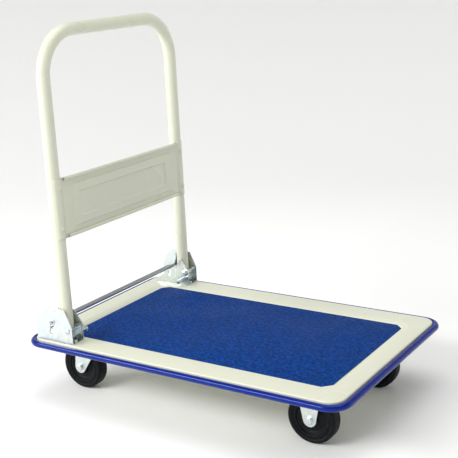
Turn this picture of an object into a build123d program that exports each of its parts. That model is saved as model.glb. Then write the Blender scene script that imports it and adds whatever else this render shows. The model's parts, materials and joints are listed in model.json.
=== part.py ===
"""Folding platform cart: a pressed steel deck on four 100 mm casters, with a handle that folds forward.

+X points to the front of the cart, away from the handle. +Y points to its left side and +Z points up.
The origin is on the floor, under the middle of the deck. All sizes are in millimetres.
"""
from build123d import *
import math
import os

# ---- driving dimensions -------------------------------------------------------------------------
DECK_LENGTH = 740.0          # over the bumper
DECK_WIDTH = 480.0           # over the bumper
DECK_SHEET = 1.2
RIM_DEPTH = 16.0             # height of the rim's skirt
RIM_CORNER = 30.0
RIM_EDGE_BEND = 3.0
RIM_LIP = 9.0                # the skirt's inward return
REAR_BAND = 57.0             # rim width behind the mat
FRONT_BAND = 48.0            # rim width in front of the mat
SIDE_BAND = 58.0             # rim width beside the mat

BUMPER_REACH = 13.0          # how far the bumper stands out from the rim
BUMPER_HEIGHT = 13.0
BUMPER_SINK = 2.5            # the bumper's top lies this far below the rim
BUMPER_CORNER = 43.0
BUMPER_TONGUE = 1.8          # lip that grips the underside of the skirt
BEAD_FLAT = 0.1              # flat left between the two rounded edges of the bumper

MAT_THICKNESS = 1.5
MAT_CORNER = 15.0            # the mat's cut corners
MAT_GAP = 0.5
TRAY_DEPTH = 4.0
TRAY_SLOPE_RUN = 4.0
STEP_WIDTH = 12.0            # low inner strip of the rim, around the mat
STEP_DROP = 0.8

CROSS_PLATE_THICKNESS = 2.5
CROSS_PLATE_LENGTH = 110.0
CROSS_PLATE_MARGIN = 35.0    # beyond the middles of the wheels
CROSS_PLATE_CORNER = 6.0
RAIL_SPACING = 190.0
RAIL_WIDTH = 40.0
RAIL_DEPTH = 20.0
RAIL_FLANGE = 12.0
RAIL_SHEET = 1.2
RAIL_END_GAP = 12.0

WHEEL_DIAMETER = 100.0
WHEEL_WIDTH = 28.0
WHEEL_SIDE_INSET = 90.0      # the wheels' middles, in from the rim's sides
FRONT_AXLE_INSET = 97.0      # behind the rim's front end
SWIVEL_INSET = 94.0          # kingpin axis of the rear casters, ahead of the rim's rear end
SWIVEL_TRAIL = 30.0          # axle behind the kingpin
TYRE_THICKNESS = 12.0
TYRE_SHOULDER = 3.0
HUB_RADIUS = 16.0
HUB_SIDE_GAP = 0.3
WEB_THICKNESS = 15.0
BEAD_INSET = 1.5             # the core's rim stands this far inside the tyre's sides
BEAD_DEPTH = 4.0
HUB_TAPER = 1.0              # the hub widens by this much at its root
BEAD_SLOPE = 1.0

AXLE_DIAMETER = 8.0
SLEEVE_DIAMETER = 12.0
RUNNING_GAP = 0.05           # radial, where one piece turns on another
FIXED_GAP = 0.15             # radial, bolts in their holes
FACE_GAP = 0.3               # between faces that move past each other

CASTER_PLATE_LENGTH = 95.0
CASTER_PLATE_WIDTH = 67.0
CASTER_PLATE_CORNER = 6.0
CASTER_BOLT_SPACING_X = 75.0
CASTER_BOLT_SPACING_Y = 45.0
FORK_SHEET = 2.5
FORK_SIDE_GAP = 2.0          # between the wheel's side and the fork leg
FORK_TIP_RADIUS = 13.5
FIXED_FORK_TOP = 58.0
CROWN_CLEARANCE = 7.0        # above the wheel
CROWN_RADIUS = 28.0
CROWN_FRONT = 26.0           # ahead of the kingpin
CROWN_REAR = 36.0            # behind the kingpin
KINGPIN_DIAMETER = 10.0
KINGPIN_HEAD_RADIUS = 9.0
KINGPIN_HEAD_HEIGHT = 5.0
RACE_RADIUS = 20.0
RACE_WIDTH = 12.0
BALL_RADIUS = 3.1
BALL_COUNT = 16
BALL_GAP = 0.1
RACE_OPENING = 3.5           # between the upper and the lower race
LOWER_RACE_HEIGHT = 4.0
UPPER_RACE_HEIGHT = 5.8
DUST_SKIRT_WALL = 1.2
DUST_SKIRT_GAP = 1.0         # around the upper race

HANDLE_RISE = 637.5          # rim to the top of the handle
LEG_SIDE_INSET = 21.0        # the leg axes, in from the rim's sides
LEG_REAR_INSET = 87.0        # ahead of the rim's rear end
HANDLE_TUBE = 27.0
HANDLE_WALL = 1.5
HANDLE_BEND = 88.0
LEG_FOOT = 10.0              # the leg ends this far above the rim
PIVOT_AHEAD = 15.0           # pivot axis in front of the leg axis
PIVOT_HEIGHT = 28.5          # above the rim
PIVOT_DIAMETER = 8.0

PANEL_RISE = 218.0           # rim to the panel's lower edge
PANEL_HEIGHT = 124.0
PANEL_SHEET = 1.0
PANEL_SETBACK = 9.0          # the sheet's rear face, ahead of the leg axis
PANEL_ROLL = 3.5             # radius of the rolled edges
PANEL_END_INSET = 2.0        # the rolled edges stop this far from the legs' sides
RELIEF_HEIGHT = 1.0          # of the frame pressed forward in the panel
RELIEF_OUTSIDE = (41.0, 19.0)    # its outer edge, in from the leg axes and from the panel's edges
RELIEF_INSIDE = (60.0, 37.0)
RIVET_SHANK = 5.0
RIVET_TAIL = 2.0             # the rivet's end inside the tube's wall
RIVET_HEAD_RADIUS = 4.5
RIVET_HEAD_HEIGHT = 2.0
RIVET_HEAD_ROUNDING = 1.6
RIVET_EDGE = 21.0

BRACKET_NOSE_GAP = 13.0      # the bracket's front edge, ahead of the leg's front
BRACKET_TAIL = 56.0          # behind the leg's rear
BRACKET_SHEET = 2.0
BRACKET_SIDE_GAP = 0.7       # between the shoe and the cheeks
BRACKET_ARC = 50.5           # radius of the outer cheek's rounded corner
BRACKET_REAR_EDGE = 25.0
BRACKET_NOSE_HEIGHT = 37.5
OUTER_CHEEK_SHOULDER = 16.0  # where its sloped front edge meets the top, behind the nose
OUTER_CHEEK_FALL = 4.0       # of its top edge, from the arc to the shoulder
INNER_CHEEK_SETBACK = 4.0    # its rear edge, ahead of the bracket's rear end
INNER_CHEEK_REAR_EDGE = 8.0
INNER_CHEEK_HEIGHT = 64.0
INNER_CHEEK_TOP = (19.0, 25.0)   # from and to, behind the nose
INNER_CHEEK_SLOPE = (27.0, 49.0) # upper end of its long sloped edge
FRONT_BOLT_INSET = 9.0       # behind the bracket's front edge
REAR_BOLT_INSET = 20.0       # ahead of its rear end

BAR_DIAMETER = 10.0
BAR_END_DIAMETER = 8.0
BAR_REST = (11.5, 42.0)      # behind the leg's rear, above the rim
BAR_PRESSED = (15.5, 20.5)
BAR_SLOT_GAP = 0.3
BAR_POCKET_GAP = 1.2         # radial, at the two ends of the outer cheek's slot
BAR_END_REACH = 4.5          # beyond the outer cheek
CLIP_THICKNESS = 1.0
CLIP_RADIUS = 6.5
LATCH_TIP = (3.5, 65.0)      # behind the leg's rear, above the rim
LATCH_WIDTH = 12.0
LATCH_THICKNESS = 3.0
LATCH_OFFSET = -9.5          # middle of the latch plate, from the leg's plane
ANCHOR_POINT = (6.0, 67.0)   # behind the leg's rear, above the rim
ANCHOR_DIAMETER = 4.0
ANCHOR_LENGTH = 19.0
ANCHOR_HEAD_RADIUS = 3.0
ANCHOR_RIVETED_RADIUS = 3.2
ANCHOR_HEAD_HEIGHT = 1.0
SPRING_OFFSET = 3.5
SPRING_RADIUS = 3.6
SPRING_WIRE = 1.2

SHOE_SHEET = 1.2
SHOE_FRONT_SHEET = 2.0
SHOE_GAP = 0.1
SHOE_FOOT = 13.0             # above the rim
SHOE_HEIGHT = 24.0
SHOE_NOSE = 8.5              # how far its sides and its lip stand ahead of its front web

STUD_POINT = (14.0, 15.0)    # behind the bracket's front edge, above the rim
STUD_DIAMETER = 8.0
STUD_TENON = 6.0             # its riveted end
STUD_LENGTH = 22.0
STUD_HEAD_RADIUS = 5.5
STUD_HEAD_HEIGHT = 3.0
STUD_HEAD_ROUNDING = 1.0

CASTER_BOLT = 8.0
CASTER_BOLT_FLATS = 13.0
CASTER_BOLT_HEAD = 5.3
BOLT_M6 = 6.0
BOLT_M6_FLATS = 10.0
BOLT_M6_HEAD = 4.0
NUT_M6_HEIGHT = 5.0
NUT_M6_FLANGE_RADIUS = 7.0
NUT_M8_HEIGHT = 6.5
NUT_M8_FLATS = 13.0
WASHER_THICKNESS = 1.6
WASHER_RADIUS = 8.0
THREAD_END = 2.0             # how far a bolt stands out of its nut
PIVOT_HEAD_RADIUS = 6.0
PIVOT_HEAD_HEIGHT = 3.0
PIVOT_HEAD_ROUNDING = 2.4

# ---- values that follow from them ----------------------------------------------------------------
RIM_LENGTH = DECK_LENGTH - 2 * BUMPER_REACH
RIM_WIDTH = DECK_WIDTH - 2 * BUMPER_REACH
REAR_END = -RIM_LENGTH / 2
FRONT_END = RIM_LENGTH / 2
MAT_LENGTH = RIM_LENGTH - FRONT_BAND - REAR_BAND
MAT_WIDTH = RIM_WIDTH - 2 * SIDE_BAND
MAT_X = (REAR_BAND - FRONT_BAND) / 2
WHEEL_RADIUS = WHEEL_DIAMETER / 2
WHEEL_Y = RIM_WIDTH / 2 - WHEEL_SIDE_INSET
FRONT_AXLE_X = FRONT_END - FRONT_AXLE_INSET
SWIVEL_X = REAR_END + SWIVEL_INSET
REAR_AXLE_X = SWIVEL_X - SWIVEL_TRAIL
FORK_INSIDE = WHEEL_WIDTH / 2 + FORK_SIDE_GAP
FORK_OUTSIDE = FORK_INSIDE + FORK_SHEET
CROWN_BOTTOM = WHEEL_DIAMETER + CROWN_CLEARANCE
CROWN_TOP = CROWN_BOTTOM + FORK_SHEET
UPPER_RACE_BOTTOM = CROWN_TOP + LOWER_RACE_HEIGHT + RACE_OPENING
CASTER_PLATE_BOTTOM = UPPER_RACE_BOTTOM + UPPER_RACE_HEIGHT
CASTER_TOP = CASTER_PLATE_BOTTOM + FORK_SHEET
UNDERSIDE = CASTER_TOP + CROSS_PLATE_THICKNESS
TRAY_FLOOR = UNDERSIDE + DECK_SHEET
DECK_HEIGHT = TRAY_FLOOR + TRAY_DEPTH        # floor to the top of the rim
SKIRT_BOTTOM = DECK_HEIGHT - RIM_DEPTH
LEG_X = REAR_END + LEG_REAR_INSET
LEG_Y = RIM_WIDTH / 2 - LEG_SIDE_INSET
LEG_RADIUS = HANDLE_TUBE / 2
HANDLE_TOP = DECK_HEIGHT + HANDLE_RISE - LEG_RADIUS
PANEL_BOTTOM = DECK_HEIGHT + PANEL_RISE
PANEL_TOP = PANEL_BOTTOM + PANEL_HEIGHT
PIVOT_X = LEG_X + PIVOT_AHEAD
PIVOT_Z = DECK_HEIGHT + PIVOT_HEIGHT
NOSE_X = LEG_X + LEG_RADIUS + BRACKET_NOSE_GAP
LEG_REAR = HANDLE_TUBE + BRACKET_NOSE_GAP    # behind the nose
BRACKET_LENGTH = LEG_REAR + BRACKET_TAIL
CHEEK_IN = LEG_RADIUS + SHOE_GAP + SHOE_SHEET + BRACKET_SIDE_GAP
CHEEK_OUT = CHEEK_IN + BRACKET_SHEET
SIDES = {"left": 1, "right": -1}
FROM_BASE = (Align.CENTER, Align.CENTER, Align.MIN)
BEHIND_NOSE = Plane(origin=(NOSE_X, 0, DECK_HEIGHT), x_dir=(-1, 0, 0), z_dir=(0, 1, 0))

pieces = {}


# ---- small helpers -------------------------------------------------------------------------------
def rod(radius, start, length, along="Z"):
    """A solid cylinder from its start point."""
    direction = {"X": (1, 0, 0), "Y": (0, 1, 0), "Z": (0, 0, 1)}[along]
    return Plane(start, z_dir=direction) * Cylinder(radius, length, align=FROM_BASE)


def cross_rod(radius, x, z, side, near, far):
    """A cylinder along Y, between two distances from the cart's middle plane on one side."""
    low = min(side * near, side * far)
    return rod(radius, (x, low, z), far - near, "Y")


def ring(outer, inner, start, length, along="Z"):
    return rod(outer, start, length, along) - rod(inner, start, length, along)


def hexagon(across_flats, start, height, along="Z"):
    """A hexagonal nut or bolt head without its hole."""
    direction = {"Y": (0, 1, 0), "Z": (0, 0, 1)}[along]
    outline = Plane(start, z_dir=direction) * RegularPolygon(across_flats / 2, 6, major_radius=False)
    return extrude(outline, height, dir=direction)


def slab(length, width, corner, bottom, top, x=0.0, y=0.0):
    """A flat block with rounded corners, between two heights."""
    return extrude(Pos(x, y, bottom) * RectangleRounded(length, width, corner), top - bottom)


def block(x_range, y_range, z_range):
    size = [high - low for low, high in (x_range, y_range, z_range)]
    centre = [(high + low) / 2 for low, high in (x_range, y_range, z_range)]
    return Pos(*centre) * Box(*size)


def side_plate(outline, side, near, far):
    """A plate in the X-Z plane, between two distances from the middle plane on one side."""
    low = min(side * near, side * far)
    return extrude(Pos(0, low, 0) * outline, far - near, dir=(0, 1, 0))


def behind_leg(point):
    """A point given behind the leg's rear, measured from the bracket's front edge instead."""
    behind, above = point
    return LEG_REAR + behind, above


def in_cart(point):
    """X and Z of a point given as (distance behind the bracket's front edge, height above the rim)."""
    behind, above = point
    return NOSE_X - behind, DECK_HEIGHT + above


def mat_outline(grow, height):
    """The mat's rectangle with cut corners, enlarged evenly by grow."""
    corner = MAT_CORNER + grow * (2 - math.sqrt(2))
    rectangle = Rectangle(MAT_LENGTH + 2 * grow, MAT_WIDTH + 2 * grow)
    return Pos(MAT_X, 0, height) * chamfer(rectangle.vertices(), corner)


def group(solids):
    return Compound(children=[Solid(s.solid().wrapped) for s in solids])


# ---- deck ----------------------------------------------------------------------------------------
def tray(grow, drop):
    """The hollow that the mat lies in, with its sloped wall and the low strip around it."""
    slope_top = DECK_HEIGHT - STEP_DROP - drop
    foot = mat_outline(MAT_GAP + grow, TRAY_FLOOR - drop)
    lip = mat_outline(MAT_GAP + TRAY_SLOPE_RUN + grow, slope_top)
    strip = mat_outline(STEP_WIDTH + grow, slope_top)
    return loft([foot, lip]) + extrude(strip, STEP_DROP + drop + DECK_SHEET)


def rounded_pan(inset, top, bend):
    body = slab(RIM_LENGTH - 2 * inset, RIM_WIDTH - 2 * inset, RIM_CORNER - inset, SKIRT_BOTTOM, top)
    return fillet(body.faces().sort_by(Axis.Z)[-1].edges(), bend)


def inside_of_lip(bottom, top):
    """The opening that the skirt's inward return leaves."""
    return slab(RIM_LENGTH - 2 * RIM_LIP, RIM_WIDTH - 2 * RIM_LIP, RIM_CORNER - RIM_LIP, bottom, top)


def deck_pan():
    shell = rounded_pan(0, DECK_HEIGHT, RIM_EDGE_BEND) - tray(0, 0)
    under = rounded_pan(DECK_SHEET, DECK_HEIGHT - DECK_SHEET, RIM_EDGE_BEND - DECK_SHEET)
    pan = shell - (under - tray(DECK_SHEET, DECK_SHEET))
    lip_top = SKIRT_BOTTOM + DECK_SHEET
    lip = slab(RIM_LENGTH - DECK_SHEET, RIM_WIDTH - DECK_SHEET, RIM_CORNER, SKIRT_BOTTOM, lip_top)
    lip -= inside_of_lip(SKIRT_BOTTOM, lip_top)
    pan += lip
    for x, y in bracket_bolt_places():
        pan -= rod(BOLT_M6 / 2 + FIXED_GAP, (x, y, SKIRT_BOTTOM), RIM_DEPTH)
    return pan


def deck_mat():
    return extrude(mat_outline(0, TRAY_FLOOR), MAT_THICKNESS)


def bumper_strip():
    top = DECK_HEIGHT - BUMPER_SINK
    bottom = top - BUMPER_HEIGHT
    bead = slab(DECK_LENGTH, DECK_WIDTH, BUMPER_CORNER, bottom, top)
    rims = bead.faces().sort_by(Axis.Z)
    bead = fillet(rims[0].edges() + rims[-1].edges(), BUMPER_HEIGHT / 2 - BEAD_FLAT)
    foot = SKIRT_BOTTOM - BUMPER_TONGUE
    reach = 2 * BUMPER_TONGUE
    corner = RIM_CORNER + BUMPER_TONGUE
    tongue = slab(RIM_LENGTH + reach, RIM_WIDTH + reach, corner, foot, bottom + BUMPER_TONGUE)
    tongue -= inside_of_lip(foot, SKIRT_BOTTOM)
    return bead + tongue - slab(RIM_LENGTH, RIM_WIDTH, RIM_CORNER, SKIRT_BOTTOM, DECK_HEIGHT)


def cross_plate(x):
    width = 2 * (WHEEL_Y + CROSS_PLATE_MARGIN)
    plate = slab(CROSS_PLATE_LENGTH, width, CROSS_PLATE_CORNER, CASTER_TOP, UNDERSIDE, x)
    for side in SIDES.values():
        for bolt_x, bolt_y in caster_bolt_places(x, side * WHEEL_Y):
            plate -= rod(CASTER_BOLT / 2, (bolt_x, bolt_y, CASTER_TOP), CROSS_PLATE_THICKNESS)
    return plate


def stiffener_rail(side):
    """A hat-shaped channel under the deck, welded on by its two flanges."""
    start = SWIVEL_X + CROSS_PLATE_LENGTH / 2 + RAIL_END_GAP
    end = FRONT_AXLE_X - CROSS_PLATE_LENGTH / 2 - RAIL_END_GAP
    y = side * RAIL_SPACING / 2
    half = RAIL_WIDTH / 2
    brim = half + RAIL_FLANGE
    along = (start, end)
    web = block(along, (y - half, y + half), (UNDERSIDE - RAIL_DEPTH, UNDERSIDE))
    hollow = half - RAIL_SHEET
    web -= block(along, (y - hollow, y + hollow), (UNDERSIDE - RAIL_DEPTH + RAIL_SHEET, UNDERSIDE))
    flanges = block(along, (y - brim, y + brim), (UNDERSIDE - RAIL_SHEET, UNDERSIDE))
    flanges -= block(along, (y - half, y + half), (UNDERSIDE - RAIL_SHEET, UNDERSIDE))
    return web + flanges


# ---- casters -------------------------------------------------------------------------------------

def caster_bolt_places(x, y):
    return [(x + sx * CASTER_BOLT_SPACING_X / 2, y + sy * CASTER_BOLT_SPACING_Y / 2)
            for sx in (-1, 1) for sy in (-1, 1)]


def all_caster_bolt_places():
    return [place for x in (SWIVEL_X, FRONT_AXLE_X) for side in SIDES.values()
            for place in caster_bolt_places(x, side * WHEEL_Y)]


def caster_plate(x, y):
    plate = slab(CASTER_PLATE_LENGTH, CASTER_PLATE_WIDTH, CASTER_PLATE_CORNER,
                 CASTER_PLATE_BOTTOM, CASTER_TOP, x, y)
    for bolt_x, bolt_y in caster_bolt_places(x, y):
        plate -= rod(CASTER_BOLT / 2 + FIXED_GAP, (bolt_x, bolt_y, CASTER_PLATE_BOTTOM), FORK_SHEET)
    return plate


def caster_bolts():
    bolts = []
    washer_bottom = CASTER_PLATE_BOTTOM - WASHER_THICKNESS
    for x, y in all_caster_bolt_places():
        shank = rod(CASTER_BOLT / 2, (x, y, washer_bottom), UNDERSIDE - washer_bottom)
        head = hexagon(CASTER_BOLT_FLATS, (x, y, washer_bottom - CASTER_BOLT_HEAD), CASTER_BOLT_HEAD)
        bolts.append(shank + head)
    return group(bolts)


def caster_washers():
    bottom = CASTER_PLATE_BOTTOM - WASHER_THICKNESS
    inner = CASTER_BOLT / 2 + FIXED_GAP
    return group([ring(WASHER_RADIUS, inner, (x, y, bottom), WASHER_THICKNESS)
                  for x, y in all_caster_bolt_places()])


def ball_height():
    return CROWN_TOP + LOWER_RACE_HEIGHT + RACE_OPENING / 2


def ball_track(x, y):
    """The round groove that the balls roll in."""
    return Pos(x, y, ball_height()) * Torus(RACE_RADIUS, BALL_RADIUS + BALL_GAP)


def race(x, y, bottom, height):
    return ring(RACE_RADIUS + RACE_WIDTH / 2, RACE_RADIUS - RACE_WIDTH / 2, (x, y, bottom), height)


def swivel_plate(side):
    y = side * WHEEL_Y
    skirt_bottom = CROWN_TOP + LOWER_RACE_HEIGHT / 2
    skirt_inside = RACE_RADIUS + RACE_WIDTH / 2 + DUST_SKIRT_GAP
    plate = caster_plate(SWIVEL_X, y)
    plate += race(SWIVEL_X, y, UPPER_RACE_BOTTOM, UPPER_RACE_HEIGHT)
    skirt_height = CASTER_PLATE_BOTTOM - skirt_bottom
    plate += ring(skirt_inside + DUST_SKIRT_WALL, skirt_inside, (SWIVEL_X, y, skirt_bottom), skirt_height)
    plate -= ball_track(SWIVEL_X, y)
    return plate - rod(KINGPIN_DIAMETER / 2, (SWIVEL_X, y, CROWN_TOP), CASTER_TOP - CROWN_TOP)


def swivel_balls(side):
    balls = []
    for i in range(BALL_COUNT):
        angle = 2 * math.pi * i / BALL_COUNT
        x = SWIVEL_X + RACE_RADIUS * math.cos(angle)
        y = side * WHEEL_Y + RACE_RADIUS * math.sin(angle)
        balls.append(Pos(x, y, ball_height()) * Sphere(BALL_RADIUS))
    return group(balls)


def kingpin(side):
    y = side * WHEEL_Y
    head_top = CROWN_BOTTOM - FACE_GAP
    head_bottom = head_top - KINGPIN_HEAD_HEIGHT
    pin = rod(KINGPIN_DIAMETER / 2, (SWIVEL_X, y, head_bottom), CASTER_TOP - head_bottom)
    head = rod(KINGPIN_HEAD_RADIUS, (SWIVEL_X, y, head_bottom), KINGPIN_HEAD_HEIGHT)
    return pin + fillet(head.faces().sort_by(Axis.Z)[0].edges(), KINGPIN_HEAD_HEIGHT / 2)


def leg_outline(axle_x, top_start, top_end, top):
    """A fork leg: a straight top edge, tapering to a round tip about the axle."""
    tip = Pos(axle_x, WHEEL_RADIUS) * Circle(FORK_TIP_RADIUS)
    shoulder = Line((top_start, top), (top_end, top))
    return Plane.XZ * make_hull(tip.edges() + [shoulder])


def fork_legs(outline, axle_x, y):
    legs = None
    outside = y - FORK_OUTSIDE
    for low in (outside, y + FORK_INSIDE):
        leg = extrude(Pos(0, low, 0) * outline, FORK_SHEET, dir=(0, 1, 0))
        legs = leg if legs is None else legs + leg
    return legs - rod(AXLE_DIAMETER / 2 + FIXED_GAP, (axle_x, outside, WHEEL_RADIUS), 2 * FORK_OUTSIDE, "Y")


def fixed_fork(side):
    y = side * WHEEL_Y
    half_top = FIXED_FORK_TOP / 2
    outline = leg_outline(FRONT_AXLE_X, FRONT_AXLE_X - half_top, FRONT_AXLE_X + half_top, CASTER_TOP)
    return caster_plate(FRONT_AXLE_X, y) + fork_legs(outline, FRONT_AXLE_X, y)


def swivel_fork(side):
    y = side * WHEEL_Y
    rear = SWIVEL_X - CROWN_REAR
    front = SWIVEL_X + CROWN_FRONT
    outline = leg_outline(REAR_AXLE_X, rear, front, CROWN_TOP)
    crown = block((rear, front), (y - FORK_OUTSIDE, y + FORK_OUTSIDE), (CROWN_BOTTOM, CROWN_TOP))
    crown += rod(CROWN_RADIUS, (SWIVEL_X, y, CROWN_BOTTOM), FORK_SHEET)
    crown += race(SWIVEL_X, y, CROWN_TOP, LOWER_RACE_HEIGHT)
    crown -= ball_track(SWIVEL_X, y)
    pin_hole = rod(KINGPIN_DIAMETER / 2 + RUNNING_GAP, (SWIVEL_X, y, CROWN_BOTTOM), FORK_SHEET)
    return crown - pin_hole + fork_legs(outline, REAR_AXLE_X, y)


def axle_bolt(x, side):
    """Hexagon bolt through the fork, with its head on the outer side of the cart."""
    y = side * WHEEL_Y
    length = FORK_OUTSIDE * 2 + NUT_M8_HEIGHT + THREAD_END
    inner_end = y - side * (length - FORK_OUTSIDE)
    outer_end = y + side * FORK_OUTSIDE
    shank = rod(AXLE_DIAMETER / 2, (x, min(inner_end, outer_end), WHEEL_RADIUS), length, "Y")
    head_start = outer_end if side > 0 else outer_end - CASTER_BOLT_HEAD
    return shank + hexagon(CASTER_BOLT_FLATS, (x, head_start, WHEEL_RADIUS), CASTER_BOLT_HEAD, "Y")


def axle_nut(x, side):
    y = side * (WHEEL_Y - FORK_OUTSIDE)
    start = y - NUT_M8_HEIGHT if side > 0 else y
    nut = hexagon(NUT_M8_FLATS, (x, start, WHEEL_RADIUS), NUT_M8_HEIGHT, "Y")
    return nut - rod(AXLE_DIAMETER / 2 + RUNNING_GAP, (x, start, WHEEL_RADIUS), NUT_M8_HEIGHT, "Y")


def axle_sleeve(x, side):
    start = (x, side * WHEEL_Y - FORK_INSIDE, WHEEL_RADIUS)
    return ring(SLEEVE_DIAMETER / 2, AXLE_DIAMETER / 2 + FIXED_GAP, start, 2 * FORK_INSIDE, "Y")


def wheel_section(points, x, y):
    """A turned part: its half section, as (radius, distance from the wheel's middle), turned about the axle."""
    outline = Plane(origin=(x, y, WHEEL_RADIUS), x_dir=(1, 0, 0), z_dir=(0, 0, 1)) * make_face(
        Polyline(*points, close=True))
    return revolve(outline, Axis((x, y, WHEEL_RADIUS), (0, 1, 0)))


def tyre(x, side):
    half = WHEEL_WIDTH / 2
    inner = WHEEL_RADIUS - TYRE_THICKNESS
    body = ring(WHEEL_RADIUS, inner, (x, side * WHEEL_Y - half, WHEEL_RADIUS), WHEEL_WIDTH, "Y")
    rims = body.edges().filter_by(GeomType.CIRCLE).filter_by(lambda e: abs(e.radius - WHEEL_RADIUS) < 0.01)
    return fillet(rims, TYRE_SHOULDER)


def wheel_core(x, side):
    """The moulded centre: hub, web and the rim that the tyre is bonded to."""
    outer = WHEEL_RADIUS - TYRE_THICKNESS
    rim_side = WHEEL_WIDTH / 2 - BEAD_INSET
    rim_inner = outer - BEAD_DEPTH
    web_side = WEB_THICKNESS / 2
    hub_side = FORK_INSIDE - HUB_SIDE_GAP
    bore = SLEEVE_DIAMETER / 2 + RUNNING_GAP
    half = [(bore, hub_side), (HUB_RADIUS - HUB_TAPER, hub_side), (HUB_RADIUS + HUB_TAPER, web_side),
            (rim_inner - BEAD_SLOPE, web_side), (rim_inner, rim_side), (outer, rim_side)]
    points = half + [(radius, -offset) for radius, offset in reversed(half)]
    return wheel_section(points, x, side * WHEEL_Y)


# ---- handle --------------------------------------------------------------------------------------
def handle_path():
    foot = DECK_HEIGHT + LEG_FOOT
    corners = [(LEG_X, y, z) for y, z in ((-LEG_Y, foot), (-LEG_Y, HANDLE_TOP), (LEG_Y, HANDLE_TOP), (LEG_Y, foot))]
    return FilletPolyline(*corners, radius=HANDLE_BEND)


def swept_round(radius):
    path = handle_path()
    return sweep(Plane(origin=path @ 0, z_dir=path % 0) * Circle(radius), path=path)


def handle_tube():
    tube = swept_round(LEG_RADIUS) - swept_round(LEG_RADIUS - HANDLE_WALL)
    for side in SIDES.values():
        tube -= cross_rod(PIVOT_DIAMETER / 2 + RUNNING_GAP, PIVOT_X, PIVOT_Z, side,
                          LEG_Y - LEG_RADIUS, LEG_Y + LEG_RADIUS)
        for z in rivet_heights():
            tube -= rod(RIVET_SHANK / 2 + RUNNING_GAP, (LEG_X, side * LEG_Y, z), HANDLE_TUBE, "X")
    return tube


def rivet_heights():
    return PANEL_BOTTOM + RIVET_EDGE, PANEL_TOP - RIVET_EDGE


def panel_wrap(side):
    """The panel's end, curved round the front of a leg."""
    start = (LEG_X, side * LEG_Y, PANEL_BOTTOM)
    height = PANEL_TOP - PANEL_BOTTOM
    curl = ring(LEG_RADIUS + SHOE_GAP + PANEL_SHEET, LEG_RADIUS + SHOE_GAP, start, height)
    ahead = LEG_X + PANEL_SETBACK
    keep = block((ahead, ahead + HANDLE_TUBE), (side * LEG_Y - HANDLE_TUBE, side * LEG_Y + HANDLE_TUBE),
                 (PANEL_BOTTOM, PANEL_TOP))
    return curl & keep


def relief_frame(shrink, depth):
    """The band between the relief's outer and inner edges, made narrower by shrink on each side."""
    blocks = []
    for (inset_y, inset_z), grow in ((RELIEF_OUTSIDE, -shrink), (RELIEF_INSIDE, shrink)):
        half_y = LEG_Y - inset_y + grow
        heights = (PANEL_BOTTOM + inset_z - grow, PANEL_TOP - inset_z + grow)
        blocks.append(block(depth, (-half_y, half_y), heights))
    return blocks[0] - blocks[1]


def handle_panel():
    """A pressed sheet between the legs, with rolled long edges and ends wrapped round the legs."""
    back = LEG_X + PANEL_SETBACK
    front = back + PANEL_SHEET
    curl_radius = LEG_RADIUS + SHOE_GAP + PANEL_SHEET
    meet = LEG_Y - math.sqrt(curl_radius ** 2 - (PANEL_SETBACK + PANEL_SHEET / 2) ** 2)
    panel = block((back, front), (-meet, meet), (PANEL_BOTTOM, PANEL_TOP))
    panel += relief_frame(0, (back, front + RELIEF_HEIGHT))
    panel -= relief_frame(PANEL_SHEET, (back, back + RELIEF_HEIGHT))
    roll_end = LEG_Y - LEG_RADIUS - PANEL_END_INSET
    roll_x = back + PANEL_ROLL
    for z in (PANEL_BOTTOM + PANEL_ROLL, PANEL_TOP - PANEL_ROLL):
        start = (roll_x, -roll_end, z)
        panel -= rod(PANEL_ROLL - PANEL_SHEET, start, 2 * roll_end, "Y")
        panel += ring(PANEL_ROLL, PANEL_ROLL - PANEL_SHEET, start, 2 * roll_end, "Y")
    for side in SIDES.values():
        panel += panel_wrap(side)
        for z in rivet_heights():
            panel -= rod(RIVET_SHANK / 2 + RUNNING_GAP, (LEG_X, side * LEG_Y, z), HANDLE_TUBE, "X")
    return panel


def panel_rivets():
    rivets = []
    seat = LEG_X + LEG_RADIUS + SHOE_GAP + PANEL_SHEET
    for side in SIDES.values():
        for z in rivet_heights():
            tail = LEG_X + LEG_RADIUS - HANDLE_WALL - RIVET_TAIL
            shank = rod(RIVET_SHANK / 2, (tail, side * LEG_Y, z), seat - tail, "X")
            head = rod(RIVET_HEAD_RADIUS, (seat, side * LEG_Y, z), RIVET_HEAD_HEIGHT, "X")
            head = fillet(head.faces().sort_by(Axis.X)[-1].edges(), RIVET_HEAD_ROUNDING)
            rivets.append(shank + head)
    return group(rivets)


def handle_shoe(side):
    """A folded steel shoe around the foot of a leg, whose sides carry the pivot under a bent lip."""
    inner = LEG_RADIUS + SHOE_GAP
    outer = inner + SHOE_SHEET
    front = LEG_X + inner + SHOE_FRONT_SHEET
    low = DECK_HEIGHT + SHOE_FOOT
    high = low + SHOE_HEIGHT
    rear = LEG_X - LEG_RADIUS
    inside = (side * LEG_Y - inner, side * LEG_Y + inner)
    shoe = block((rear, front + SHOE_NOSE), (side * LEG_Y - outer, side * LEG_Y + outer), (low, high))
    shoe -= block((rear, LEG_X + inner), inside, (low, high))
    shoe -= block((front, front + SHOE_NOSE), inside, (low, high - SHOE_FRONT_SHEET))
    hole = cross_rod(PIVOT_DIAMETER / 2 + RUNNING_GAP, PIVOT_X, PIVOT_Z, side, LEG_Y - outer, LEG_Y + outer)
    return shoe - hole


# ---- brackets ------------------------------------------------------------------------------------
def bracket_bolt_places():
    return [(NOSE_X - behind, side * LEG_Y) for side in SIDES.values()
            for behind in (FRONT_BOLT_INSET, BRACKET_LENGTH - REAR_BOLT_INSET)]


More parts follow.
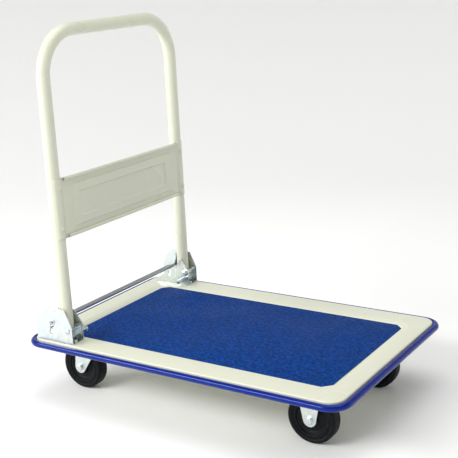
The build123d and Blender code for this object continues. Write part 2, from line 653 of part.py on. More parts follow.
def slot(from_point, to_point, width):
    """A round-ended slot drawn behind the bracket's front edge."""
    start = Vector(*from_point)
    end = Vector(*to_point)
    middle = (start + end) / 2
    turn = math.degrees(math.atan2(end.Y - start.Y, end.X - start.X))
    return Pos(middle.X, middle.Y) * Rot(0, 0, turn) * SlotCenterToCenter((end - start).length, width)


def outer_cheek_outline():
    centre = BRACKET_LENGTH - BRACKET_ARC
    top = BRACKET_REAR_EDGE + BRACKET_ARC
    shoulder = (OUTER_CHEEK_SHOULDER, top - OUTER_CHEEK_FALL)
    edge = Polyline((centre, top), shoulder, (0, BRACKET_NOSE_HEIGHT), (0, 0), (BRACKET_LENGTH, 0),
                    (BRACKET_LENGTH, BRACKET_REAR_EDGE))
    arc = CenterArc((centre, BRACKET_REAR_EDGE), BRACKET_ARC, 0, 90)
    return make_face(edge + arc)


def inner_cheek_outline():
    rear = BRACKET_LENGTH - INNER_CHEEK_SETBACK
    top = [(behind, INNER_CHEEK_HEIGHT) for behind in reversed(INNER_CHEEK_TOP)]
    foot = [(0, 0), (rear, 0), (rear, INNER_CHEEK_REAR_EDGE)]
    return make_face(Polyline(*foot, INNER_CHEEK_SLOPE, *top, (0, BRACKET_NOSE_HEIGHT), close=True))


def bar_slot():
    return slot(behind_leg(BAR_REST), behind_leg(BAR_PRESSED), BAR_END_DIAMETER + 2 * BAR_SLOT_GAP)


def bracket(side):
    """A folded steel channel: base, tall rounded outer cheek and low inner cheek."""
    near = LEG_Y - CHEEK_OUT
    far = LEG_Y + CHEEK_OUT
    pivot = Pos(NOSE_X - PIVOT_X, PIVOT_HEIGHT) * Circle(PIVOT_DIAMETER / 2 + FIXED_GAP)
    outer = outer_cheek_outline() - bar_slot() - pivot
    for point in (BAR_REST, BAR_PRESSED):
        outer -= Pos(*behind_leg(point)) * Circle(BAR_END_DIAMETER / 2 + BAR_POCKET_GAP)
    outer -= Pos(*behind_leg(ANCHOR_POINT)) * Circle(ANCHOR_DIAMETER / 2 + FIXED_GAP)
    rest = behind_leg(BAR_REST)
    open_end = (rest[0], rest[1] + BAR_DIAMETER)
    inner = inner_cheek_outline() - bar_slot() - pivot - slot(rest, open_end, BAR_DIAMETER)
    inner -= Pos(*STUD_POINT) * Circle(STUD_TENON / 2)
    body = side_plate(BEHIND_NOSE * outer, side, LEG_Y + CHEEK_IN, far)
    body += side_plate(BEHIND_NOSE * inner, side, near, LEG_Y - CHEEK_IN)
    low = min(side * near, side * far)
    heights = (DECK_HEIGHT, DECK_HEIGHT + BRACKET_SHEET)
    body += block((NOSE_X - BRACKET_LENGTH, NOSE_X), (low, low + far - near), heights)
    for x, y in bracket_bolt_places():
        if y * side > 0:
            body -= rod(BOLT_M6 / 2 + FIXED_GAP, (x, y, DECK_HEIGHT), BRACKET_SHEET)
    return body


def bracket_bolts():
    head_bottom = DECK_HEIGHT + BRACKET_SHEET
    tip = DECK_HEIGHT - DECK_SHEET - WASHER_THICKNESS - NUT_M6_HEIGHT - THREAD_END
    bolts = []
    for x, y in bracket_bolt_places():
        shank = rod(BOLT_M6 / 2, (x, y, tip), head_bottom - tip)
        bolts.append(shank + hexagon(BOLT_M6_FLATS, (x, y, head_bottom), BOLT_M6_HEAD))
    return group(bolts)


def bracket_nuts():
    """Flanged nuts under the rim."""
    top = DECK_HEIGHT - DECK_SHEET
    nuts = []
    for x, y in bracket_bolt_places():
        bottom = top - WASHER_THICKNESS - NUT_M6_HEIGHT
        nut = hexagon(BOLT_M6_FLATS, (x, y, bottom), NUT_M6_HEIGHT + WASHER_THICKNESS)
        nut += rod(NUT_M6_FLANGE_RADIUS, (x, y, top - WASHER_THICKNESS), WASHER_THICKNESS)
        nuts.append(nut - rod(BOLT_M6 / 2 + RUNNING_GAP, (x, y, bottom), top - bottom))
    return group(nuts)


def pivot_bolts():
    """Round-headed bolts that the handle turns on, heads outward."""
    bolts = []
    for side in SIDES.values():
        seat = LEG_Y + CHEEK_OUT
        tip = LEG_Y - CHEEK_OUT - NUT_M8_HEIGHT - THREAD_END
        shank = cross_rod(PIVOT_DIAMETER / 2, PIVOT_X, PIVOT_Z, side, tip, seat)
        head = cross_rod(PIVOT_HEAD_RADIUS, PIVOT_X, PIVOT_Z, side, seat, seat + PIVOT_HEAD_HEIGHT)
        outer_face = head.faces().sort_by(Axis.Y)[-1 if side > 0 else 0]
        bolts.append(shank + fillet(outer_face.edges(), PIVOT_HEAD_ROUNDING))
    return group(bolts)


def pivot_nuts():
    nuts = []
    for side in SIDES.values():
        far = LEG_Y - CHEEK_OUT
        near = far - NUT_M8_HEIGHT
        nut = hexagon(NUT_M8_FLATS, (PIVOT_X, min(side * near, side * far), PIVOT_Z), NUT_M8_HEIGHT, "Y")
        nuts.append(nut - cross_rod(PIVOT_DIAMETER / 2 + RUNNING_GAP, PIVOT_X, PIVOT_Z, side, near, far))
    return group(nuts)


def spring_anchor_pins():
    """Pins riveted into the outer cheeks, for the upper ends of the springs."""
    pins = []
    x, z = in_cart(behind_leg(ANCHOR_POINT))
    for side in SIDES.values():
        far = LEG_Y + CHEEK_OUT
        near = far - ANCHOR_LENGTH
        pin = cross_rod(ANCHOR_DIAMETER / 2, x, z, side, near, far)
        pin += cross_rod(ANCHOR_HEAD_RADIUS, x, z, side, near - ANCHOR_HEAD_HEIGHT, near)
        pins.append(pin + cross_rod(ANCHOR_RIVETED_RADIUS, x, z, side, far, far + ANCHOR_HEAD_HEIGHT))
    return group(pins)


def inner_studs():
    """Headed studs that stand out from the inner cheeks."""
    studs = []
    x, z = in_cart(STUD_POINT)
    for side in SIDES.values():
        root = LEG_Y - CHEEK_OUT
        near = root - STUD_LENGTH
        stud = cross_rod(STUD_DIAMETER / 2, x, z, side, near, root)
        stud += cross_rod(STUD_TENON / 2, x, z, side, root, root + BRACKET_SHEET)
        head = cross_rod(STUD_HEAD_RADIUS, x, z, side, near - STUD_HEAD_HEIGHT, near)
        outer_face = head.faces().sort_by(Axis.Y)[0 if side > 0 else -1]
        studs.append(stud + fillet(outer_face.edges(), STUD_HEAD_ROUNDING))
    return group(studs)


# ---- release bar ---------------------------------------------------------------------------------

def release_bar():
    """The cross bar, stepped down at both ends where it runs in the bracket slots."""
    x, z = in_cart(behind_leg(BAR_REST))
    shoulder = LEG_Y - CHEEK_OUT - FACE_GAP
    end = LEG_Y + CHEEK_OUT + BAR_END_REACH
    bar = rod(BAR_DIAMETER / 2, (x, -shoulder, z), 2 * shoulder, "Y")
    return bar + rod(BAR_END_DIAMETER / 2, (x, -end, z), 2 * end, "Y")


def bar_clips():
    x, z = in_cart(behind_leg(BAR_REST))
    clips = []
    for side in SIDES.values():
        near = LEG_Y + CHEEK_OUT + FACE_GAP
        far = near + CLIP_THICKNESS
        hole = cross_rod(BAR_END_DIAMETER / 2 + RUNNING_GAP, x, z, side, near, far)
        clips.append(cross_rod(CLIP_RADIUS, x, z, side, near, far) - hole)
    return group(clips)


def latch_plate(side):
    rest = behind_leg(BAR_REST)
    outline = slot(rest, behind_leg(LATCH_TIP), LATCH_WIDTH)
    outline -= Pos(*rest) * Circle(BAR_END_DIAMETER / 2 + RUNNING_GAP)
    middle = LEG_Y + LATCH_OFFSET
    near = middle - LATCH_THICKNESS / 2
    return side_plate(BEHIND_NOSE * outline, side, near, near + LATCH_THICKNESS)


def release_spring(side):
    """A tension spring with a round eye at each end, from the bar up to its anchor pin."""
    bar_x, bar_z = in_cart(behind_leg(BAR_REST))
    pin_x, pin_z = in_cart(behind_leg(ANCHOR_POINT))
    y = side * (LEG_Y + SPRING_OFFSET)
    low = Vector(bar_x, y, bar_z)
    high = Vector(pin_x, y, pin_z)
    up = (high - low).normalized()
    bar_eye = BAR_END_DIAMETER / 2 + FACE_GAP + SPRING_WIRE / 2
    pin_eye = ANCHOR_DIAMETER / 2 + FACE_GAP + SPRING_WIRE / 2
    start = low + up * bar_eye
    top = (high - low).length - bar_eye - pin_eye
    turns = int(top / SPRING_WIRE)
    pitch = top / turns
    profile = [Line((0, 0), (SPRING_RADIUS, 0))]
    for turn in range(turns):
        profile.append(CenterArc((SPRING_RADIUS, (turn + 0.5) * pitch), pitch / 2, -90, 180))
    profile += [Line((SPRING_RADIUS, top), (0, top)), Line((0, top), (0, 0))]
    coil_plane = Plane(origin=start, x_dir=(0, 1, 0), z_dir=up)
    body = coil_plane * revolve(Plane.XZ * make_face(Curve() + profile), Axis.Z)
    for centre, eye in ((low, bar_eye), (high, pin_eye)):
        body += Plane(origin=centre, z_dir=(0, 1, 0)) * Torus(eye, SPRING_WIRE / 2)
    return body


# ---- assembly ------------------------------------------------------------------------------------
def build():
    pieces["deck_pan"] = deck_pan()
    pieces["deck_mat"] = deck_mat()
    pieces["bumper_strip"] = bumper_strip()
    pieces["cross_plate_rear"] = cross_plate(SWIVEL_X)
    pieces["cross_plate_front"] = cross_plate(FRONT_AXLE_X)
    pieces["caster_bolts"] = caster_bolts()
    pieces["caster_washers"] = caster_washers()
    for name, side in SIDES.items():
        pieces[f"stiffener_rail_{name}"] = stiffener_rail(side)
        pieces[f"swivel_plate_{name}"] = swivel_plate(side)
        pieces[f"swivel_balls_{name}"] = swivel_balls(side)
        pieces[f"kingpin_{name}"] = kingpin(side)
        pieces[f"swivel_fork_{name}"] = swivel_fork(side)
        pieces[f"fixed_fork_{name}"] = fixed_fork(side)
        pieces[f"bracket_{name}"] = bracket(side)
        pieces[f"handle_shoe_{name}"] = handle_shoe(side)
        pieces[f"latch_plate_{name}"] = latch_plate(side)
        pieces[f"release_spring_{name}"] = release_spring(side)
        for end, x in (("rear", REAR_AXLE_X), ("front", FRONT_AXLE_X)):
            pieces[f"axle_bolt_{end}_{name}"] = axle_bolt(x, side)
            pieces[f"axle_nut_{end}_{name}"] = axle_nut(x, side)
            pieces[f"axle_sleeve_{end}_{name}"] = axle_sleeve(x, side)
            pieces[f"wheel_core_{end}_{name}"] = wheel_core(x, side)
            pieces[f"tyre_{end}_{name}"] = tyre(x, side)
    pieces["handle_tube"] = handle_tube()
    pieces["handle_panel"] = handle_panel()
    pieces["panel_rivets"] = panel_rivets()
    pieces["bracket_bolts"] = bracket_bolts()
    pieces["bracket_nuts"] = bracket_nuts()
    pieces["pivot_bolts"] = pivot_bolts()
    pieces["pivot_nuts"] = pivot_nuts()
    pieces["spring_anchor_pins"] = spring_anchor_pins()
    pieces["inner_studs"] = inner_studs()
    pieces["release_bar"] = release_bar()
    pieces["bar_clips"] = bar_clips()


build()
os.makedirs("parts", exist_ok=True)
for node, shape in pieces.items():
    export_step(shape, f"parts/{node}.step")
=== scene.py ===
"""Looks of a folding platform cart, laid out as an add-on and run as a script.

+X points to the front of the cart, +Y to its left side and +Z up. Everything is in metres.
"""
import json
import math

import bmesh
import bpy
import numpy as np
from mathutils import Matrix, Vector


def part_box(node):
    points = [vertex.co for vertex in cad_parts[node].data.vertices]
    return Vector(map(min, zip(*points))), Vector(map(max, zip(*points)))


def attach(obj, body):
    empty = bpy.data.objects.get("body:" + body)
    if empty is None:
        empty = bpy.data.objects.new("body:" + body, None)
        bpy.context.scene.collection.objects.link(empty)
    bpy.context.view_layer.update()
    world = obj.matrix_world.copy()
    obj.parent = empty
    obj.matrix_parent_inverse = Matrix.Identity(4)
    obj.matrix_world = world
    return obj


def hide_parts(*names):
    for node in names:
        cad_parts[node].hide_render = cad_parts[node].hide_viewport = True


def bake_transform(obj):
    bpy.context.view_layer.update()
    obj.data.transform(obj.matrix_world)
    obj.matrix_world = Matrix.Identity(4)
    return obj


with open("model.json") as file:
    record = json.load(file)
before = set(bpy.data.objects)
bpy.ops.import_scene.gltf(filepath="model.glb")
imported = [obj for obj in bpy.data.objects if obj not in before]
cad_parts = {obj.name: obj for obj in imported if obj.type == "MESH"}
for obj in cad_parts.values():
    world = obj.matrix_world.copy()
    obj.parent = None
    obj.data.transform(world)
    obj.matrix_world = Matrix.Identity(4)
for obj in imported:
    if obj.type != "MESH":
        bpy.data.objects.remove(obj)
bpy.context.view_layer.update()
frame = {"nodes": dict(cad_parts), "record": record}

bl_info = {
    "name": "Folding platform cart",
    "version": (1, 0, 0),
    "blender": (4, 5, 0),
    "location": "View3D > Sidebar > Cart",
    "description": "Builds the visible pieces of a folding platform cart around its packed model",
    "category": "Object",
}

MM = 0.001
SIDES = {"left": 1, "right": -1}
ENDS = ("front", "rear")
AXIS_Y = (0.0, 1.0, 0.0)
AXIS_Z = (0.0, 0.0, 1.0)


def cad_box(node):
    """Lowest and highest corner of a CAD node, as two arrays."""
    low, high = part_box(node)
    return np.array(low), np.array(high)


def linear(hex_colour):
    """An sRGB hex colour as linear RGBA."""
    parts = [int(hex_colour[i:i + 2], 16) / 255 for i in (1, 3, 5)]
    return [c / 12.92 if c <= 0.04045 else ((c + 0.055) / 1.055) ** 2.4 for c in parts] + [1.0]


# ---- sizes and colours that a user would change ---------------------------------------------------

def length(name, description, default):
    return bpy.props.FloatProperty(name=name, description=description, default=default, unit="LENGTH",
                                   subtype="DISTANCE", precision=5)


def colour(name, description, hex_colour):
    return bpy.props.FloatVectorProperty(name=name, description=description, default=linear(hex_colour),
                                         size=4, subtype="COLOR", min=0, max=1)


class CartSizes(bpy.types.PropertyGroup):
    deck_sheet: length("Deck sheet", "Thickness of the pressed deck", 1.2 * MM)
    step_width: length("Step width", "Low strip of the rim around the mat", 12 * MM)
    step_drop: length("Step drop", "How far that strip lies below the rim", 0.8 * MM)
    stud_length: length("Stud length", "Long diagonal of a raised lozenge on the mat", 5.2 * MM)
    stud_width: length("Stud width", "Short diagonal of a raised lozenge on the mat", 2.4 * MM)
    stud_height: length("Stud height", "Height of a raised lozenge on the mat", 0.4 * MM)
    stud_pitch: length("Stud pitch", "Distance between neighbouring lozenges", 6.6 * MM)
    tube_wall: length("Tube wall", "Wall of the handle tube", 1.5 * MM)
    tube_bend: length("Tube bend", "Radius of the handle's two bends, at the tube's middle", 88 * MM)
    panel_sheet: length("Panel sheet", "Thickness of the panel between the legs", 1 * MM)
    panel_roll: length("Panel roll", "Radius of the panel's rolled long edges", 3.5 * MM)
    relief_height: length("Relief height", "Height of the frame pressed into the panel", 2.4 * MM)
    spring_wire: length("Spring wire", "Diameter of the spring's wire", 1.2 * MM)
    plate_edge: length("Plate edge", "Rounding of the stamped plates' edges", 0.35 * MM)


class CartColours(bpy.types.PropertyGroup):
    enamel: colour("Enamel", "Stoved cream enamel on the deck and the handle", "#D7D9C5")
    mat: colour("Mat", "Blue vinyl of the mat", "#0A387C")
    bumper: colour("Bumper", "Blue soft vinyl of the bumper strip", "#03187C")
    zinc: colour("Zinc", "Bright zinc plating of the brackets, forks and bolts", "#DDE3E4")
    steel: colour("Steel", "Drawn steel of the release bar", "#B9BDBF")
    tyre: colour("Tyre", "Black rubber of the tyres", "#0D1012")
    core: colour("Wheel centre", "Black moulded plastic of the wheel centres", "#0C0F11")
    floor: colour("Floor", "Pale studio floor", "#FBFBFA")


# ---- surfaces --------------------------------------------------------------------------------------

def grid_faces(rows, columns, wrap_rows, wrap_columns):
    """Quads between neighbouring points of a grid: face (i, j) joins points i, i+1 of columns j, j+1."""
    i, j = np.meshgrid(np.arange(rows - 1 + wrap_rows), np.arange(columns - 1 + wrap_columns), indexing="ij")
    next_i, next_j = (i + 1) % rows, (j + 1) % columns
    corners = (i * columns + j, i * columns + next_j, next_i * columns + next_j, next_i * columns + j)
    return np.stack(corners, axis=-1).reshape(-1, 4)


def grid(points, wrap_rows=False, wrap_columns=False):
    """A surface given as an array of rows by columns of points: its flat point list and its quads."""
    rows, columns = points.shape[:2]
    return points.reshape(-1, 3), grid_faces(rows, columns, wrap_rows, wrap_columns).tolist()


def capped(points):
    """A stack of closed outlines, with a flat face over the first and the last one."""
    rows, columns = points.shape[:2]
    flat, faces = grid(points, wrap_columns=True)
    faces.append(list(range(columns)))
    faces.append(list(range((rows - 1) * columns, rows * columns)))
    return flat, faces


def join(surfaces):
    """Several surfaces as one point list and one face list."""
    points, faces, offset = [], [], 0
    for flat, quads in surfaces:
        points.append(flat)
        faces += [[index + offset for index in face] for face in quads]
        offset += len(flat)
    return np.concatenate(points), faces


def make_piece(name, surfaces, material, sharp=35.0, closed=True):
    """A mesh object from surfaces, with doubles merged, normals outward and edges over sharp degrees kept."""
    points, faces = join(surfaces)
    mesh = bpy.data.meshes.new(name)
    mesh.from_pydata(points.tolist(), [], faces)
    work = bmesh.new()
    work.from_mesh(mesh)
    bmesh.ops.remove_doubles(work, verts=work.verts, dist=1e-6)
    bmesh.ops.dissolve_degenerate(work, edges=work.edges, dist=1e-7)
    if closed:
        bmesh.ops.recalc_face_normals(work, faces=work.faces)
    work.to_mesh(mesh)
    work.free()
    return finish_mesh(name, mesh, material, sharp)


def finish_mesh(name, mesh, material, sharp):
    mesh.shade_smooth()
    mesh.set_sharp_from_angle(angle=math.radians(sharp))
    mesh.materials.clear()
    mesh.materials.append(material)
    piece = bpy.data.objects.new(name, mesh)
    bpy.context.scene.collection.objects.link(piece)
    return piece


def place(piece, body, slot, *nodes):
    """The piece rides on a body and stands for CAD nodes. The slot is not used."""
    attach(piece, body)
    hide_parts(*nodes)
    return piece


def softened(corners, cut, steps=4, closed=False):
    """A line with rounded corners: q(t) = (1-t)^2 a + 2t(1-t) p + t^2 b about each corner p.

    a and b lie at the distance cut from p, towards its two neighbours."""
    p = np.array(corners, dtype=float)
    before, after = np.roll(p, 1, axis=0), np.roll(p, -1, axis=0)
    to_before = before - p
    to_after = after - p
    reach_before = np.linalg.norm(to_before, axis=1, keepdims=True)
    reach_after = np.linalg.norm(to_after, axis=1, keepdims=True)
    limit = np.minimum(np.minimum(reach_before, reach_after) * 0.49, np.reshape(cut, (-1, 1)))
    a = p + to_before / reach_before * limit
    b = p + to_after / reach_after * limit
    t = np.linspace(0, 1, steps + 1)[None, :, None]
    bends = (1 - t) ** 2 * a[:, None] + 2 * t * (1 - t) * p[:, None] + t ** 2 * b[:, None]
    if closed:
        return bends.reshape(-1, p.shape[1])
    return np.concatenate([p[:1], bends[1:-1].reshape(-1, p.shape[1]), p[-1:]])


def basis(axis):
    """Two unit vectors square to an axis and to each other."""
    axis = np.array(axis, dtype=float)
    axis /= np.linalg.norm(axis)
    helper = np.array((1.0, 0.0, 0.0)) if abs(axis[0]) < 0.9 else np.array((0.0, 0.0, 1.0))
    u = np.cross(helper, axis)
    u /= np.linalg.norm(u)
    return axis, u, np.cross(axis, u)


def turned(profile, centre, axis, segments=64, ring=False):
    """A surface of revolution: the profile point (r, s) goes to centre + s axis + r (cos t u + sin t v)."""
    axis, u, v = basis(axis)
    t = np.linspace(0, 2 * np.pi, segments, endpoint=False)
    round_trip = np.cos(t)[:, None] * u + np.sin(t)[:, None] * v
    r, s = np.array(profile, dtype=float).T
    points = np.array(centre) + s[:, None, None] * axis + r[:, None, None] * round_trip
    return grid(points, wrap_rows=ring, wrap_columns=True)


def six_sided(centre, axis, flats, height, bore=0.0, turn=0.0, segments=72):
    """A hexagonal head or nut: at angle t from a flat's middle, the side is flats / 2 / cos t out.

    Its top is cut by a 30 degree cone that leaves a round face inside the flats. A bore makes it a nut."""
    axis, u, v = basis(axis)
    t = np.linspace(0, 2 * np.pi, segments, endpoint=False) + turn
    sixth = np.pi / 3
    side = flats / 2 / np.cos((t - turn + sixth / 2) % sixth - sixth / 2)
    face = np.full_like(side, flats / 2 * 0.96)
    cone = height - (side - face) * math.tan(math.radians(30))
    base = np.full_like(side, 0.0)
    top = np.full_like(side, height)
    hole = np.full_like(side, bore)
    chamfer = min(0.6 * MM, height / 4)
    rings = [(hole, base), (side, base), (side, cone), (face, top)]
    if bore:
        rings += [(hole + chamfer, top), (hole, top - chamfer)]
    else:
        rings += [(hole, top)]
    round_trip = np.cos(t)[:, None] * u + np.sin(t)[:, None] * v
    points = np.stack([np.array(centre) + s[:, None] * axis + r[:, None] * round_trip for r, s in rings])
    return grid(points, wrap_rows=bool(bore), wrap_columns=True)


def threaded(radius, start, end, pitch=1.0 * MM):
    """Profile of a bolt's thread from start to end: the radius swings by a tenth of the pitch a turn."""
    count = max(3, int(abs(end - start) / pitch) * 2 + 1)
    s = np.linspace(start, end, count)
    r = radius - np.where(np.arange(count) % 2 == 1, 0.0, 0.45 * pitch)
    return list(zip(r, s))


def swept(path, radius, reference, sides=16, ends=True):
    """A round tube along a path: at each point it is the circle cos t n + sin t (T x n).

    T is the path's direction and n is the reference with its part along T taken out."""
    path = np.asarray(path, dtype=float)
    tangent = np.gradient(path, axis=0)
    tangent /= np.linalg.norm(tangent, axis=1, keepdims=True)
    normal = reference - (tangent @ reference)[:, None] * tangent
    normal /= np.linalg.norm(normal, axis=1, keepdims=True)
    across = np.cross(tangent, normal)
    t = np.linspace(0, 2 * np.pi, sides, endpoint=False)[None, :, None]
    circle = np.cos(t) * normal[:, None] + np.sin(t) * across[:, None]
    points = path[:, None] + radius * circle
    if not ends:
        return points
    points = np.concatenate([np.repeat(path[:1, None], sides, axis=1), points,
                             np.repeat(path[-1:, None], sides, axis=1)])
    return grid(points, wrap_columns=True)


def outline(low, high, corner, cut=False, steps=10):
    """Points round a rectangle, steps to each corner: q = c + r (cos t, sin t) on an arc of radius corner.

    With cut, the arc's points move onto the straight line between its two ends."""
    t = np.linspace(0, np.pi / 2, steps)
    arc = np.stack([np.cos(t), np.sin(t)], axis=-1)
    if cut:
        share = np.linspace(0, 1, steps)[:, None]
        arc = (1 - share) * arc[:1] + share * arc[-1:]
    quarter = np.array([[1, 1], [-1, 1], [-1, -1], [1, -1]], dtype=float)
    middle = (np.array(low) + np.array(high)) / 2
    half = (np.array(high) - np.array(low)) / 2
    points = []
    for k, sign in enumerate(quarter):
        turned_arc = arc[::-1] if k % 2 else arc
        inner = half - corner
        offset = corner * turned_arc
        points.append(middle + sign * (inner + offset))
    return np.concatenate(points)


def ring_stack(levels):
    """Outlines at heights, as an array of rows of points: each level is (outline, height)."""
    return np.stack([np.column_stack([flat, np.full(len(flat), z)]) for flat, z in levels])


# ---- finishes --------------------------------------------------------------------------------------

def add(tree, kind, inputs=None, out=0, **settings):
    """Adds a shader node, sets its properties and its inputs, and gives back one of its outputs."""
    node = tree.nodes.new("ShaderNode" + kind)
    for key, value in settings.items():
        setattr(node, key, value)
    for socket, value in (inputs or {}).items():
        if isinstance(value, bpy.types.NodeSocket):
            tree.links.new(value, node.inputs[socket])
        else:
            node.inputs[socket].default_value = value
    return node.outputs[out] if node.outputs else node


def shade(tone, factor):
    """A tone made darker or paler by a factor, and kept opaque."""
    return [channel * factor for channel in list(tone)[:3]] + [1.0]


def per_metre(size):
    """Scale of a noise whose cells are about size across."""
    return 0.5 / size


# The part of a noise's range that most of its values fall in.
SPREAD = {"From Min": 0.35, "From Max": 0.65}
COLOURS = {"data_type": "RGBA", "out": 2}


def new_material(name):
    """An empty material, its tree, and the place of each point in metres."""
    material = bpy.data.materials.new(name)
    material.use_nodes = True
    tree = material.node_tree
    tree.nodes.clear()
    return material, tree, add(tree, "TexCoord", out="Object")


def cover(material, inputs):
    """Gives a material its surface shader."""
    tree = material.node_tree
    add(tree, "OutputMaterial", {"Surface": add(tree, "BsdfPrincipled", inputs)})
    return material


def stoved_enamel(tone):
    """Sprayed and baked cream enamel: a soft gloss over a faint orange peel, with slight tone drift."""
    material, tree, where = new_material("stoved_cream_enamel")
    drift = add(tree, "TexNoise", {"Vector": where, "Scale": per_metre(80 * MM), "Detail": 2.0})
    speck = add(tree, "TexNoise", {"Vector": where, "Scale": per_metre(7 * MM), "Detail": 4.0})
    peel = add(tree, "TexNoise", {"Vector": where, "Scale": per_metre(1.6 * MM), "Detail": 2.0})
    patch = add(tree, "MapRange", {"Value": drift, **SPREAD})
    base = add(tree, "Mix", {0: patch, 6: tone, 7: shade(tone, 0.985)}, **COLOURS)
    base = add(tree, "Mix", {0: speck, 6: base, 7: shade(tone, 0.97)}, **COLOURS)
    gloss = add(tree, "MapRange", {"Value": drift, **SPREAD, "To Min": 0.26, "To Max": 0.34})
    normal = add(tree, "Bump", {"Height": peel, "Distance": 0.02 * MM, "Strength": 0.5})
    return cover(material, {"Base Color": base, "Roughness": gloss, "Normal": normal, "IOR": 1.5,
                            "Specular IOR Level": 0.4, "Coat Weight": 0.25, "Coat Roughness": 0.12})


def grained_vinyl(tone):
    """Calendered blue vinyl sheet: leathery grain, dull sheen, a painted highlight on the grain's crests and
    painted shade in its hollows.
    """
    material, tree, where = new_material("grained_blue_vinyl")
    skin = add(tree, "TexVoronoi", {"Vector": where, "Scale": 1 / (1.5 * MM)}, feature="DISTANCE_TO_EDGE")
    fine = add(tree, "TexNoise", {"Vector": where, "Scale": per_metre(1.3 * MM), "Detail": 3.0})
    wide = add(tree, "TexNoise", {"Vector": where, "Scale": per_metre(60 * MM), "Detail": 3.0})
    # Painted highlight: where this noise is high the blue is drawn paler, standing for light caught on the
    # grain's crests.
    painted_crest_light_noise = add(tree, "TexNoise", {"Vector": where, "Scale": per_metre(4.5 * MM), "Detail": 2.0,
                                 "Roughness": 0.7})
    # Painted shade: where this noise is high the blue is drawn much darker, standing for shade in the grain's
    # hollows.
    painted_hollow_shade_noise = add(tree, "TexNoise", {"Vector": where, "Scale": per_metre(3.6 * MM), "Detail": 1.0})
    patch = add(tree, "MapRange", {"Value": wide, **SPREAD})
    painted_crest_highlight = add(tree, "MapRange", {"Value": painted_crest_light_noise, **SPREAD, "To Max": 0.6})
    base = add(tree, "Mix", {0: patch, 6: shade(tone, 0.92), 7: shade(tone, 1.08)}, **COLOURS)
    # Painted highlight on the grain's crests.
    base = add(tree, "Mix", {0: painted_crest_highlight, 6: base, 7: shade(tone, 1.9)}, **COLOURS)
    painted_hollow_shade = add(tree, "MapRange", {"Value": painted_hollow_shade_noise, **SPREAD, "To Max": 0.75})
    # Painted shade in the grain's hollows.
    base = add(tree, "Mix", {0: painted_hollow_shade, 6: base, 7: shade(tone, 0.45)}, **COLOURS)
    gloss = add(tree, "MapRange", {"Value": wide, **SPREAD, "To Min": 0.5, "To Max": 0.62})
    leather = add(tree, "MapRange", {"Value": skin, "From Max": 0.3})
    normal = add(tree, "Bump", {"Height": leather, "Distance": 0.06 * MM, "Strength": 0.6})
    normal = add(tree, "Bump", {"Height": fine, "Distance": 0.05 * MM, "Strength": 0.5, "Normal": normal})
    return cover(material, {"Base Color": base, "Roughness": gloss, "Normal": normal, "IOR": 1.5,
                            "Specular IOR Level": 0.06})


def soft_vinyl(tone):
    """Extruded soft vinyl: deep blue and glossy, with faint drawing marks and a little surface ripple."""
    material, tree, where = new_material("glossy_blue_vinyl")
    ripple = add(tree, "TexNoise", {"Vector": where, "Scale": per_metre(24 * MM), "Detail": 2.0})
    drift = add(tree, "TexNoise", {"Vector": where, "Scale": per_metre(70 * MM), "Detail": 2.0})
    bloom = add(tree, "TexNoise", {"Vector": where, "Scale": per_metre(2 * MM), "Detail": 3.0})
    base = add(tree, "Mix", {0: drift, 6: tone, 7: shade(tone, 0.8)}, **COLOURS)
    gloss = add(tree, "MapRange", {"Value": bloom, **SPREAD, "To Min": 0.13, "To Max": 0.2})
    normal = add(tree, "Bump", {"Height": ripple, "Distance": 0.12 * MM, "Strength": 0.25})
    return cover(material, {"Base Color": base, "Roughness": gloss, "Normal": normal, "IOR": 1.53,
                            "Specular IOR Level": 0.5, "Specular Tint": (0.34, 0.52, 1.0, 1.0)})


def bright_zinc(tone):
    """Zinc electroplate with clear passivation: pale metal, faint blue and straw tints, fine rolled grain."""
    material, tree, where = new_material("bright_zinc_plate")
    tint = add(tree, "TexNoise", {"Vector": where, "Scale": per_metre(14 * MM), "Detail": 2.0})
    cloud = add(tree, "TexNoise", {"Vector": where, "Scale": per_metre(5 * MM), "Detail": 3.0})
    drawn = add(tree, "Mapping", {"Vector": where, "Scale": (0.06, 1.0, 1.0)})
    rolled = add(tree, "TexNoise", {"Vector": drawn, "Scale": per_metre(0.35 * MM), "Detail": 2.0})
    straw = add(tree, "MapRange", {"Value": tint, **SPREAD})
    cool = [tone[0] * 0.93, tone[1] * 0.98, tone[2], 1.0]
    warm = [tone[0], tone[1] * 0.99, tone[2] * 0.91, 1.0]
    base = add(tree, "Mix", {0: straw, 6: cool, 7: warm}, **COLOURS)
    dull = add(tree, "MapRange", {"Value": cloud, **SPREAD, "To Max": 0.5})
    base = add(tree, "Mix", {0: dull, 6: base, 7: shade(tone, 0.84)}, **COLOURS)
    gloss = add(tree, "MapRange", {"Value": cloud, **SPREAD, "To Min": 0.24, "To Max": 0.36})
    normal = add(tree, "Bump", {"Height": rolled, "Distance": 0.01 * MM, "Strength": 0.6})
    return cover(material, {"Base Color": base, "Metallic": 1.0, "Roughness": gloss, "Normal": normal})


def drawn_steel(tone):
    """Cold drawn bar: grey steel with long draw lines along it and a trace of oil."""
    material, tree, where = new_material("drawn_steel")
    along = add(tree, "Mapping", {"Vector": where, "Scale": (1.0, 0.02, 1.0)})
    lines = add(tree, "TexNoise", {"Vector": along, "Scale": per_metre(0.5 * MM), "Detail": 3.0})
    film = add(tree, "TexNoise", {"Vector": where, "Scale": per_metre(18 * MM), "Detail": 2.0})
    mark = add(tree, "MapRange", {"Value": lines, **SPREAD})
    base = add(tree, "Mix", {0: mark, 6: shade(tone, 0.8), 7: tone}, **COLOURS)
    oil = add(tree, "MapRange", {"Value": film, **SPREAD, "To Max": 0.4})
    base = add(tree, "Mix", {0: oil, 6: base, 7: shade(tone, 0.7)}, **COLOURS)
    gloss = add(tree, "MapRange", {"Value": film, **SPREAD, "To Min": 0.26, "To Max": 0.38})
    normal = add(tree, "Bump", {"Height": lines, "Distance": 0.01 * MM, "Strength": 0.7})
    return cover(material, {"Base Color": base, "Metallic": 1.0, "Roughness": gloss, "Normal": normal})


